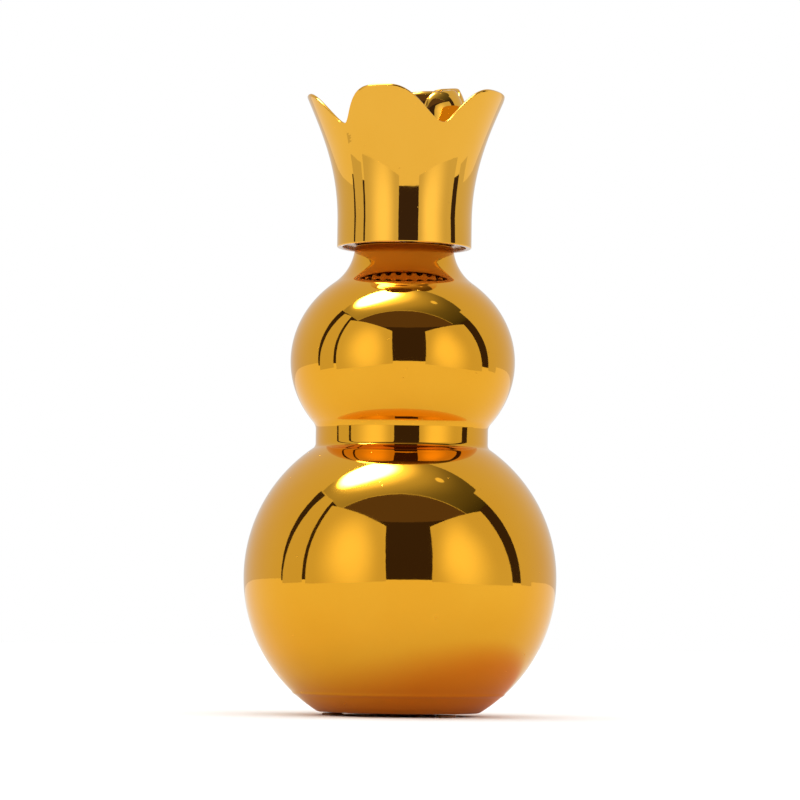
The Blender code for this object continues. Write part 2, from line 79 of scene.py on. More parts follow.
class Body(Enum):
    """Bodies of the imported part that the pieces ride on."""

    BOTTLE = "bottle"
    BEAD = "bead"
    LINER = "liner"
    CAP = "cap"


class Corner(Enum):
    """Corners of a section, with the angles between which their rounding turns."""

    LOW_INNER = (-2 * QUARTER, -QUARTER)
    LOW_OUTER = (-QUARTER, 0.0)
    HIGH_OUTER = (0.0, QUARTER)
    HIGH_INNER = (QUARTER, 2 * QUARTER)


def smooth_step(share: float) -> float:
    """Ease a share from 0 to 1 with level ends."""
    share = min(max(share, 0.0), 1.0)
    return share * share * (3.0 - 2.0 * share)


def bisect(rising: Callable[[float], float], low: float, high: float) -> float:
    """Find where a rising function crosses zero.

    Args:
        rising: Function that grows from below zero to above it.
        low: Value where the search starts.
        high: Value where the search ends.

    Returns:
        The value at the crossing.
    """
    for _ in range(HALVINGS):
        middle = (low + high) / 2
        if rising(middle) > 0:
            high = middle
        else:
            low = middle
    return (low + high) / 2


def arc(centre: Point, radii: Point, start: float, end: float, steps: int) -> list[Point]:
    """Points on an elliptical arc in the plane of radius and height.

    Args:
        centre: Radius and height of the arc's centre.
        radii: Half axes of the ellipse.
        start: First angle in radians, counted from level.
        end: Last angle in radians.
        steps: Number of straight runs.

    Returns:
        The points in order, both ends included.
    """
    angles = [start + (end - start) * step / steps for step in range(steps + 1)]
    across, up = radii
    return [(centre[0] + across * math.cos(a), centre[1] + up * math.sin(a)) for a in angles]


def line(start: Point, end: Point, step: float) -> list[Point]:
    """Points along a straight run of an outline, at most a step apart.

    Args:
        start: Radius and height where the run starts.
        end: Where it ends.
        step: Greatest distance between two points.

    Returns:
        The points in order, both ends included.
    """
    count = max(1, math.ceil(math.dist(start, end) / step))
    shares = [index / count for index in range(count + 1)]
    across, up = end[0] - start[0], end[1] - start[1]
    return [(start[0] + across * s, start[1] + up * s) for s in shares]


def joined(*stretches: Iterable[Point]) -> list[Point]:
    """Chain stretches of an outline and leave out points that repeat.

    Args:
        *stretches: Stretches of the outline, in order.

    Returns:
        The points of the whole outline.
    """
    outline: list[Point] = []
    for point in (point for stretch in stretches for point in stretch):
        if not outline or math.dist(outline[-1], point) > MERGE_DISTANCE:
            outline.append(point)
    return outline


def rounded(corner: Corner, point: Point, size: float, steps: int) -> list[Point]:
    """Rounding of one corner of a section.

    Args:
        corner: Which corner it is.
        point: Radius and height of the corner before it is rounded.
        size: Radius of the rounding.
        steps: Number of straight runs.

    Returns:
        The points in order, both ends included.
    """
    start, end = corner.value
    middle = (start + end) / 2
    centre = (point[0] - math.copysign(size, math.cos(middle)),
              point[1] - math.copysign(size, math.sin(middle)))
    return arc(centre, (size, size), start, end, steps)


def disc_section(radius: float, thickness: float, edge: float, steps: int) -> list[Point]:
    """Section of a disc that stands on its origin, with both edges rounded."""
    return joined([(0, 0)], rounded(Corner.LOW_OUTER, (radius, 0.0), edge, steps),
                  rounded(Corner.HIGH_OUTER, (radius, thickness), edge, steps), [(0, thickness)])


def globe_heel(radius: float, depth: float, rounding: float) -> Point:
    """Rounding between a globe and a flat floor.

    Args:
        radius: Radius of the globe.
        depth: Depth of the floor under the globe's centre.
        rounding: Radius of the rounding.

    Returns:
        Radius at which the rounding's centre stands, and the slope where it meets the globe.
    """
    reach = math.sqrt((radius - rounding) ** 2 - (depth - rounding) ** 2)
    return reach, math.atan2(rounding - depth, reach)


def bearing_of(vert: bmesh.types.BMVert) -> float:
    """Angle of a vertex round the axis, from the front towards +X, in radians."""
    return math.atan2(vert.co.x, -vert.co.y)


def reach_of(vert: bmesh.types.BMVert) -> float:
    """Distance of a vertex from the axis."""
    return math.hypot(vert.co.x, vert.co.y)


def set_reach(vert: bmesh.types.BMVert, reach: float) -> None:
    """Move a vertex to a distance from the axis and leave its bearing and height.

    Args:
        vert: Vertex to move.
        reach: Its new distance from the axis.
    """
    share = reach / reach_of(vert)
    vert.co.x *= share
    vert.co.y *= share


def turned(outline: list[Point], segments: int) -> bmesh.types.BMesh:
    """Spin an outline into a closed body round the Z axis.

    Args:
        outline: Points of radius and height. It ends on the axis, or it is a ring's section.
        segments: Number of steps in the full turn.

    Returns:
        A closed mesh whose faces point outwards.
    """
    mesh = bmesh.new()
    points = [mesh.verts.new((radius, 0, height)) for radius, height in outline]
    pairs = list(zip(points, points[1:]))
    if outline[0][0] > 0:
        pairs.append((points[-1], points[0]))
    edges = [mesh.edges.new(pair) for pair in pairs]
    bmesh.ops.spin(mesh, geom=points + edges, cent=(0, 0, 0), axis=(0, 0, 1),
                   angle=2 * math.pi, steps=segments, use_merge=True)
    bmesh.ops.remove_doubles(mesh, verts=mesh.verts[:], dist=MERGE_DISTANCE)
    bmesh.ops.recalc_face_normals(mesh, faces=mesh.faces[:])
    return mesh


def finished(name: str, mesh: bmesh.types.BMesh, body: Body,
             material: bpy.types.Material, stands_for: Iterable[str] = ()) -> bpy.types.Object:
    """Turn a mesh into a piece at the origin that rides on its body.

    Args:
        name: Name of the piece.
        mesh: Closed mesh in the part's frame, which is freed here.
        body: Body that the piece moves with.
        material: Finish of the piece.
        stands_for: CAD nodes that the piece is shown instead of.

    Returns:
        The finished object.
    """
    data = bpy.data.meshes.new(name)
    mesh.to_mesh(data)
    mesh.free()
    data.shade_smooth()
    data.set_sharp_from_angle(angle=math.radians(SHARP_ANGLE))
    data.materials.append(material)
    piece = bpy.data.objects.new(name, data)
    bpy.context.scene.collection.objects.link(piece)
    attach(piece, body.value)
    if stands_for:
        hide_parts(*stands_for)
    LOG.info("%s: %d faces on %s", name, len(data.polygons), body.value)
    return piece


class ShaderTree:
    """Node tree of a material or of the world, with short ways to add its nodes."""

    def __init__(self, tree: bpy.types.NodeTree) -> None:
        """Take the tree that the nodes go into."""
        self.tree = tree

    def put(self, socket: Socket, value: Value) -> None:
        """Link an output to an input, or set the input's plain value.

        Args:
            socket: Input of a node.
            value: Output to link, or value to set.
        """
        if isinstance(value, bpy.types.NodeSocket):
            self.tree.links.new(value, socket)
        elif socket.type == "RGBA":
            socket.default_value = (*value, 1.0)
        else:
            socket.default_value = value

    def fill(self, node: bpy.types.Node, **values: Value) -> None:
        """Put a value into each named input of a node, with _ in place of a space."""
        for name, value in values.items():
            self.put(node.inputs[name.replace("_", " ")], value)

    def add(self, kind: str, **values: Value) -> bpy.types.Node:
        """Add a node and fill its inputs.

        Args:
            kind: Type of the node, without the start that all shader nodes share.
            **values: Outputs or plain values for its inputs, with _ in place of a space.

        Returns:
            The node.
        """
        node = self.tree.nodes.new("ShaderNode" + kind)
        self.fill(node, **values)
        return node

    def combined(self, operation: str, *values: Socket | float) -> Socket:
        """Join values with an arithmetic operation.

        Args:
            operation: Name of the operation.
            *values: Outputs or plain numbers, in order.

        Returns:
            The result.
        """
        node = self.add("Math")
        node.operation = operation
        for socket, value in zip(node.inputs, values):
            self.put(socket, value)
        return node.outputs["Value"]

    def length(self, vector: Socket) -> Socket:
        """Length of a vector.

        Args:
            vector: Output that holds the vector.

        Returns:
            Its length.
        """
        node = self.add("VectorMath")
        node.operation = "LENGTH"
        self.put(node.inputs[0], vector)
        return node.outputs["Value"]

    def ranged(self, value: Socket, low: float, high: float, to_low: float, to_high: float,
               ease: str = "LINEAR") -> Socket:
        """Map a value from one range to another, held within the new one.

        Args:
            value: Value to map.
            low: Lower end of its range.
            high: Upper end of its range.
            to_low: What the lower end becomes.
            to_high: What the upper end becomes.
            ease: How it passes from one end to the other.

        Returns:
            The mapped value.
        """
        node = self.add("MapRange", Value=value, From_Min=low, From_Max=high, To_Min=to_low,
                        To_Max=to_high)
        node.interpolation_type = ease
        return node.outputs["Result"]

    def mixed(self, share: Socket, first: Socket | Colour, second: Socket | Colour) -> Socket:
        """Colour between two, by a share from 0 to 1.

        Args:
            share: Share of the second colour.
            first: Colour at 0.
            second: Colour at 1.

        Returns:
            The mixed colour.
        """
        node = self.add("Mix")
        node.data_type = "RGBA"
        self.fill(node, Factor=share, A=first, B=second)
        return node.outputs["Result"]


class FinishNodes(ShaderTree):
    """Nodes of one finish: a Principled shader and what feeds it from Object coordinates."""

    def __init__(self, name: str) -> None:
        """Start a material that holds the shader and its output.

        Args:
            name: Name of the material.
        """
        self.material = bpy.data.materials.new(name)
        self.material.use_nodes = True
        super().__init__(self.material.node_tree)
        self.tree.nodes.clear()
        self.surface = self.add("BsdfPrincipled")
        self.add("OutputMaterial", Surface=self.surface.outputs["BSDF"])
        self.place = self.add("TexCoord").outputs["Object"]

    def dress(self, **values: Value) -> None:
        """Put values into the shader's own inputs, with _ in place of a space."""
        self.fill(self.surface, **values)

    def noise(self, per_metre: float, detail: float = 2.0, distortion: float = 0.0) -> Socket:
        """Noise with a number of features for each metre."""
        return self.add("TexNoise", Vector=self.place, Scale=per_metre, Detail=detail,
                        Distortion=distortion).outputs["Fac"]

    def cells(self, per_metre: float) -> Socket:
        """Distance to the middle of the nearest cell of a scattered pattern."""
        return self.add("TexVoronoi", Vector=self.place, Scale=per_metre).outputs["Distance"]

    def within(self, radius: float, height: float) -> Socket:
        """Mask that is 1 nearer to the Z axis than a radius and below a height.

        Args:
            radius: Greatest distance from the axis.
            height: Greatest height.

        Returns:
            The mask, 0 outside.
        """
        flat = self.add("Mapping", Vector=self.place, Scale=(1.0, 1.0, 0.0)).outputs["Vector"]
        level = self.add("SeparateXYZ", Vector=self.place).outputs["Z"]
        return self.combined("MULTIPLY", self.combined("LESS_THAN", self.length(flat), radius),
                             self.combined("LESS_THAN", level, height))

    def raised(self, height: Socket, distance: float, under: Socket | None = None) -> Socket:
        """Surface relief of a given depth in metres, on top of another relief.

        Args:
            height: Heights of the relief, from 0 to 1.
            distance: Depth of the relief, in metres.
            under: Relief that it lies on.

        Returns:
            The bent normals.
        """
        node = self.add("Bump", Strength=1.0, Distance=distance, Height=height)
        if under is not None:
            self.fill(node, Normal=under)
        return node.outputs["Normal"]


@dataclass(frozen=True)
class PlatedGold:
    """Bright gold plating with slow waves, faint smears and pinholes, and painted shade inside a
    shell where asked.

    Attributes:
        name: Name of the material.
        colour: Colour where the plating is clean.
        thin_colour: Colour where the plating is thinner.
        roughness: Roughness of clean and of smeared plating.
        wave_depth: Depth of the slow waves under the plating, in metres.
        waves_per_metre: Number of those waves for each metre.
        ripple_depth: Depth of the short ripples on them, in metres.
        ripples_per_metre: Number of ripples for each metre.
        grain_depth: Depth of the fine grain, in metres.
        grains_per_metre: Number of grains for each metre.
        patches_per_metre: Number of clean and thin patches for each metre.
        patch_range: Noise between which clean plating turns thin.
        smears_per_metre: Number of smears for each metre.
        smear_range: Noise between which clean plating turns smeared.
        pinholes_per_metre: Number of the cells that may hold a pinhole for each metre.
        pinhole_size: Radius of a pinhole as a share of its cell.
        pinhole_edge: Width of its soft edge as a share of its cell.
        pinhole_roughness: Roughness inside it.
        metallic: Share of the light that the plating mirrors as metal.
        shaded_inside: Radius and height within which the inside of a shell gets painted shade.
        inside_shade_colour: Colour of that painted shade, where the metal is taken away too.
    """

    name: str
    colour: Colour
    thin_colour: Colour
    roughness: Point = (0.03, 0.07)
    wave_depth: float = 0.00005
    waves_per_metre: float = 45.0
    ripple_depth: float = 0.000005
    ripples_per_metre: float = 350.0
    grain_depth: float = 0.000001
    grains_per_metre: float = 1400.0
    patches_per_metre: float = 38.0
    patch_range: Point = (0.35, 0.7)
    smears_per_metre: float = 60.0
    smear_range: Point = (0.45, 0.8)
    pinholes_per_metre: float = 170.0
    pinhole_size: float = 0.04
    pinhole_edge: float = 0.02
    pinhole_roughness: float = 0.5
    metallic: float = 1.0
    shaded_inside: Point | None = None
    inside_shade_colour: Colour = (0.50, 0.30, 0.20)

    def build(self) -> bpy.types.Material:
        """Make the material.

        Returns:
            The material.
        """
        nodes = FinishNodes(self.name)
        nodes.dress(Metallic=self.metallic, Specular_IOR_Level=0.5)
        patches = nodes.ranged(nodes.noise(self.patches_per_metre, detail=3.0),
                               *self.patch_range, 0.0, 1.0)
        colour = nodes.mixed(patches, self.colour, self.thin_colour)
        # Painted shade: within the given radius and height the colour turns dull brown and the
        # metal is taken away, in place of the shade under the cap's skirt.
        if self.shaded_inside:
            inside_shade_mask = nodes.within(*self.shaded_inside)
            colour = nodes.mixed(inside_shade_mask, colour, self.inside_shade_colour)
            nodes.dress(Metallic=nodes.ranged(inside_shade_mask, 0.0, 1.0, self.metallic, 0.0))
        smears = nodes.noise(self.smears_per_metre, detail=5.0, distortion=1.2)
        smeared = nodes.ranged(smears, *self.smear_range, *self.roughness)
        pits = nodes.ranged(nodes.cells(self.pinholes_per_metre), self.pinhole_size,
                            self.pinhole_size + self.pinhole_edge, 1.0, 0.0)
        pitted = nodes.combined("MULTIPLY", pits, self.pinhole_roughness)
        relief = nodes.raised(nodes.noise(self.waves_per_metre, detail=1.0), self.wave_depth)
        relief = nodes.raised(nodes.noise(self.ripples_per_metre, detail=1.0),
                              self.ripple_depth, relief)
        relief = nodes.raised(nodes.noise(self.grains_per_metre), self.grain_depth, relief)
        nodes.dress(Base_Color=colour, Roughness=nodes.combined("MAXIMUM", smeared, pitted),
                    Normal=relief)
        return nodes.material


@dataclass(frozen=True)
class SoftPlastic:
    """Moulded polyethylene or foam with a fine skin.

    Attributes:
        name: Name of the material.
        colour: Main colour.
        shade: Colour of the slightly darker patches.
        roughness: Least and greatest roughness.
        grain_depth: Depth of the skin's grain, in metres.
        grains_per_metre: Number of grains for each metre.
        clouds_per_metre: Number of lighter and darker patches for each metre.
        smears_per_metre: Number of smoother and rougher patches for each metre.
        smear_range: Noise between which the smooth skin turns rough.
        depth_glow: Weight of the light that passes under the skin.
        glow_depth: How deep that light passes, in metres.
    """

    name: str
    colour: Colour
    shade: Colour
    roughness: Point = (0.35, 0.5)
    grain_depth: float = 0.00001
    grains_per_metre: float = 2500.0
    clouds_per_metre: float = 120.0
    smears_per_metre: float = 400.0
    smear_range: Point = (0.3, 0.7)
    depth_glow: float = 0.2
    glow_depth: float = 0.002

    def build(self) -> bpy.types.Material:
        """Make the material.

        Returns:
            The material.
        """
        nodes = FinishNodes(self.name)
        nodes.dress(Metallic=0.0, Subsurface_Weight=self.depth_glow,
                    Subsurface_Scale=self.glow_depth)
        clouds = nodes.noise(self.clouds_per_metre, detail=3.0)
        smears = nodes.noise(self.smears_per_metre, detail=3.0)
        nodes.dress(Base_Color=nodes.mixed(clouds, self.colour, self.shade),
                    Roughness=nodes.ranged(smears, *self.smear_range, *self.roughness),
                    Normal=nodes.raised(nodes.noise(self.grains_per_metre), self.grain_depth))
        return nodes.material


@dataclass(frozen=True)
class ClearGlass:
    """Polished glass of the check bead, with a faint green cast.

    Attributes:
        name: Name of the material.
        colour: Main colour.
        shade: Colour of the slightly darker patches.
        ior: Index of refraction.
        roughness: Least and greatest roughness.
        smear_range: Noise between which clean glass turns smeared.
        smears_per_metre: Number of smears for each metre.
        clouds_per_metre: Number of lighter and darker patches for each metre.
        ripple_depth: Depth of the ripples in the glass, in metres.
        ripples_per_metre: Number of ripples for each metre.
    """

    name: str = "bead_glass_finish"
    colour: Colour = (0.80, 0.92, 0.88)
    shade: Colour = (0.70, 0.86, 0.82)
    ior: float = 1.52
    roughness: Point = (0.01, 0.06)
    smear_range: Point = (0.4, 0.7)
    smears_per_metre: float = 900.0
    clouds_per_metre: float = 300.0
    ripple_depth: float = 0.000004
    ripples_per_metre: float = 700.0

    def build(self) -> bpy.types.Material:
        """Make the material.

        Returns:
            The material.
        """
        nodes = FinishNodes(self.name)
        nodes.dress(Transmission_Weight=1.0, IOR=self.ior)
        smears = nodes.noise(self.smears_per_metre, detail=3.0)
        clouds = nodes.noise(self.clouds_per_metre)
        nodes.dress(Base_Color=nodes.mixed(clouds, self.colour, self.shade),
                    Roughness=nodes.ranged(smears, *self.smear_range, *self.roughness),
                    Normal=nodes.raised(nodes.noise(self.ripples_per_metre), self.ripple_depth))
        return nodes.material


@dataclass(frozen=True)
class Thread:
    """Screw thread on an upright wall.

    Attributes:
        depth: Height of a ridge.
        width_share: Width of a ridge as a share of the pitch.
        offset_share: Shift along the axis as a share of the pitch.
        crest_share: Part of that width over which the crest stays flat.
        flank_share: Part of that width over which it falls to the groove.
        lead: Rise of a ridge in a full turn.
        starts: Number of ridges that wind side by side.
    """

    depth: float
    width_share: float
    offset_share: float = 0.0
    crest_share: float = 0.5
    flank_share: float = 0.75
    lead: float = 0.0080
    starts: int = 2

    def relief(self, vert: bmesh.types.BMVert, bottom: float, top: float) -> float:
        """Height of the ridge at a vertex of the wall, with run-outs at both ends.

        Args:
            vert: Vertex on the threaded wall.
            bottom: Height where the thread starts.
            top: Height where the thread ends.

        Returns:
            How far the wall stands out there, 0 in the groove.
        """
        pitch = self.lead / self.starts
        turn = math.atan2(vert.co.y, vert.co.x) / (2 * math.pi)
        phase = (vert.co.z / pitch - turn * self.starts - self.offset_share) % 1.0
        away = abs(phase - 0.5) * 2
        crest, flank = self.width_share * self.crest_share, self.width_share * self.flank_share
        ridge = 1.0 - smooth_step((away - crest) / flank)
        starting = smooth_step((vert.co.z - bottom) / pitch)
        ending = smooth_step((top - vert.co.z) / pitch)
        return self.depth * ridge * starting * ending


@dataclass
class Gourd:
    """Blown body of two globes with a waist band, a neck and a threaded finish."""

    lip: float
    base_plane: float = 0.0011
    wall: float = 0.0035
    lower_radius: float = 0.0500
    base_radius: float = 0.02577
    base_rounding: float = 0.0020
    punt_radius: float = 0.0170
    punt_height: float = 0.0020
    floor_thickness: float = 0.0055
    floor_rounding: float = 0.0060
    seam_height: float = 0.0068
    seam_rise: float = 0.00030
    seam_width: float = 0.0009
    waist_radius: float = 0.0276
    waist_height: float = 0.0069
    waist_low_fillet: float = 0.0020
    waist_high_fillet: float = 0.0035
    upper_radius: float = 0.0360
    upper_half_height: float = 0.0321
    neck_radius: float = 0.0158
    neck_flare: float = 0.0155
    shoulder_rounding: float = 0.0005
    finish_radius: float = 0.0145
    finish_height: float = 0.0223
    root_fillet: float = 0.0006
    lip_rounding: float = 0.0008
    mouth_radius: float = 0.0102
    mouth_edge: float = 0.0005
    throat_rise: float = 0.0008
    throat_taper: float = 0.0030
    thread: Thread = Thread(depth=0.0010, width_share=0.40)
    thread_setback: float = 0.0026
    thread_height: float = 0.0125
    thread_row: float = 0.0003
    punt_steps: int = 12
    heel_steps: int = 8
    seam_steps: int = 14
    globe_steps: int = 80
    floor_steps: int = 14
    side_steps: int = 56
    inner_steps: int = 12
    segments: int = 200

    def __post_init__(self) -> None:
        """Work out the heights that follow from the sizes."""
        base_depth = math.sqrt(self.lower_radius ** 2 - self.base_radius ** 2)
        self.lower_centre = self.base_plane + base_depth
        waist_start = self.lower_centre + math.sqrt(self.lower_radius ** 2 - self.waist_radius ** 2)
        flattening = math.sqrt(1 - (self.waist_radius / self.upper_radius) ** 2)
        self.upper_centre = waist_start + self.waist_height + self.upper_half_height * flattening
        self.shoulder = self.lip - self.finish_height

    def fillet(self, globe: tuple[float, float, float], post: float, fillet: float,
               side: int) -> tuple[float, float, float]:
        """Hollow fillet between a globe and an upright post.

        Args:
            globe: Height of the globe's centre, its radius and its half height.
            post: Radius of the post.
            fillet: Radius of the fillet.
            side: 1 above the globe, -1 below it.

        Returns:
            Angle on the globe, height of the fillet's centre, and slope where they meet.
        """
        centre, radius, half_height = globe

        def fillet_centre(angle: float) -> Point:
            """Centre of the fillet when it touches the globe at an angle.

            Args:
                angle: Angle on the globe in radians, counted from level.

            Returns:
                Radius and height, from the globe's centre.
            """
            across = math.cos(angle) / radius
            along = math.sin(angle) / half_height
            size = math.hypot(across, along)
            return (radius * math.cos(angle) + fillet * across / size,
                    half_height * math.sin(angle) + fillet * along / size)

        angle = bisect(lambda a: post + fillet - fillet_centre(a)[0], 0.0, QUARTER)
        slope = math.atan2(math.sin(angle) / half_height, math.cos(angle) / radius)
        return side * angle, centre + side * fillet_centre(angle)[1], side * slope

    def side(self, inset: float, top: float, steps: int) -> list[Point]:
        """Side from the lower globe's level line up to a height on the neck.

        Args:
            inset: Distance of the outline inside the glass's outer face.
            top: Height where the outline ends.
            steps: Number of runs on each globe.

        Returns:
            Points of radius and height, upwards.
        """
        lower = (self.lower_centre, self.lower_radius - inset, self.lower_radius - inset)
        upper = (self.upper_centre, self.upper_radius - inset, self.upper_half_height - inset)
        waist, neck = self.waist_radius - inset, self.neck_radius - inset
        low, high = self.waist_low_fillet + inset, self.waist_high_fillet + inset
        flare = self.neck_flare + inset
        low_angle, low_centre, low_slope = self.fillet(lower, waist, low, 1)
        high_angle, high_centre, high_slope = self.fillet(upper, waist, high, -1)
        neck_angle, neck_centre, neck_slope = self.fillet(upper, neck, flare, 1)
        cut = math.asin((neck_centre - top) / flare)
        on_waist, on_neck = steps // 4, steps // 2
        return joined(
            arc((0, self.lower_centre), lower[1:], 0.0, low_angle, steps),
            arc((waist + low, low_centre), (low, low), low_slope + math.pi, math.pi, on_waist),
            arc((waist + high, high_centre), (high, high), math.pi, high_slope + math.pi,
                on_waist),
            arc((0, self.upper_centre), upper[1:], high_angle, neck_angle, steps + on_neck),
            arc((neck + flare, neck_centre), (flare, flare), neck_slope + math.pi,
                cut + math.pi, on_neck),
        )

    def base(self) -> list[Point]:
        """Underside of the glass from the punt's middle up to the lower globe's level line.

        Returns:
            Points of radius and height, outwards and upwards.
        """
        foot, rounding = self.base_plane, self.base_rounding
        reach, slope = globe_heel(self.lower_radius, self.lower_centre - foot, rounding)
        angles = [QUARTER * step / self.punt_steps for step in range(self.punt_steps + 1)]
        punt = [(self.punt_radius * math.sin(a), foot + self.punt_height * math.cos(a) ** 2)
                for a in angles]
        return joined(
            punt,
            arc((reach, foot + rounding), (rounding, rounding), -QUARTER, slope, self.heel_steps),
            [self.with_seam(point) for point in self.heel_to_equator(slope)[1:]],
        )

    def heel_to_equator(self, slope: float) -> list[Point]:
        """Lower globe from its heel up to its level line, with fine steps across the seam.

        Args:
            slope: Slope in radians where the heel's rounding meets the globe.

        Returns:
            Points of radius and height, upwards.
        """
        centre, radii = (0, self.lower_centre), (self.lower_radius, self.lower_radius)
        height = self.seam_height - self.lower_centre
        seam = [math.asin((height + way * self.seam_width) / self.lower_radius)
                for way in (-1, 1)]
        return joined(arc(centre, radii, slope, seam[0], self.heel_steps),
                      arc(centre, radii, *seam, self.seam_steps),
                      arc(centre, radii, seam[1], 0.0, self.globe_steps))

    def with_seam(self, point: Point) -> Point:
        """Lift a point of the outline where the mould's parting line runs round the heel.

        Args:
            point: Radius and height on the plain globe.

        Returns:
            The point with the seam's rise.
        """
        away = abs(point[1] - self.seam_height) / self.seam_width
        rise = self.seam_rise * (1 - smooth_step(away))
        return point[0] + rise, point[1]

    def floor(self) -> list[Point]:
        """Inside of the glass from the lower globe's level line down to the middle of the floor.

        Returns:
            Points of radius and height, downwards and inwards.
        """
        radius, rounding = self.lower_radius - self.wall, self.floor_rounding
        floor = self.base_plane + self.floor_thickness
        reach, slope = globe_heel(radius, self.lower_centre - floor, rounding)
        return joined(
            arc((0, self.lower_centre), (radius, radius), 0.0, slope, self.floor_steps),
            arc((reach, floor + rounding), (rounding, rounding), slope, -QUARTER,
                self.heel_steps),
            [(0, floor)],
        )

    def finish_outline(self) -> list[Point]:
        """Outside of the finish over the lip and down the throat.

        Returns:
            Points of radius and height, in order.
        """
        shoulder, lip, wall = self.shoulder, self.lip, self.finish_radius
        root, edge, mouth = self.root_fillet, self.lip_rounding, self.mouth_radius
        neck = self.side(0.0, shoulder - self.shoulder_rounding, 4)[-1][0]
        return joined(
            rounded(Corner.HIGH_OUTER, (neck, shoulder), self.shoulder_rounding, 6),
            arc((wall + root, shoulder + root), (root, root), -QUARTER, -2 * QUARTER, 4),
            line((wall, shoulder + root), (wall, lip - edge), self.thread_row),
            rounded(Corner.HIGH_OUTER, (wall, lip), edge, 6),
            [(mouth + self.mouth_edge, lip), (mouth, lip - self.mouth_edge),
             (mouth, shoulder + self.throat_rise)],
        )

    def cut_thread(self, mesh: bmesh.types.BMesh) -> None:
        """Raise the screw thread on the finish.

        Args:
            mesh: Mesh of the whole glass.
        """
        top = self.lip - self.thread_setback
        bottom = top - self.thread_height
        for vert in mesh.verts:
            on_wall = abs(reach_of(vert) - self.finish_radius) <= MERGE_DISTANCE
            if on_wall and bottom < vert.co.z < top:
                set_reach(vert, self.finish_radius + self.thread.relief(vert, bottom, top))

    def build(self, material: bpy.types.Material) -> bpy.types.Object:
        """Make the glass and stand it in place of its CAD node.

        Args:
            material: Finish of the piece.

        Returns:
            The glass.
        """
        neck_top = self.shoulder - self.shoulder_rounding
        throat_foot = self.shoulder + self.throat_rise - self.throat_taper
        outline = joined(self.base(), self.side(0.0, neck_top, self.side_steps),
                         self.finish_outline(),
                         self.side(self.wall, throat_foot, self.inner_steps)[::-1], self.floor())
        mesh = turned(outline, self.segments)
        self.cut_thread(mesh)
        return finished("gourd_glass", mesh, Body.BOTTLE, material, ["bottle_body"])


@dataclass
class FootPads:
    """Three clear bumpers stuck under the base."""

    radius: float = 0.0033
    height: float = 0.0008
    dome_share: float = 0.45
    ring_radius: float = 0.0215
    bearings: tuple[tuple[str, float], ...] = (("left", -77.0), ("right", 44.0), ("back", 164.0))
    segments: int = 48

    def build(self, material: bpy.types.Material) -> list[bpy.types.Object]:
        """Make the pads as low domes with a flat foot.

        Args:
            material: Finish of the piece.

        Returns:
            The three pads.
        """
        outline = disc_section(self.radius, self.height, self.height * self.dome_share, 6)
        pads = []
        for side, bearing in self.bearings:
            mesh = turned(outline, self.segments)
            angle = math.radians(bearing)
            spot = Vector((math.sin(angle), -math.cos(angle), 0)) * self.ring_radius
            bmesh.ops.translate(mesh, vec=spot, verts=mesh.verts[:])
            pads.append(finished("bumper_" + side, mesh, Body.BOTTLE, material,
                                 ["foot_pad_" + side]))
        return pads


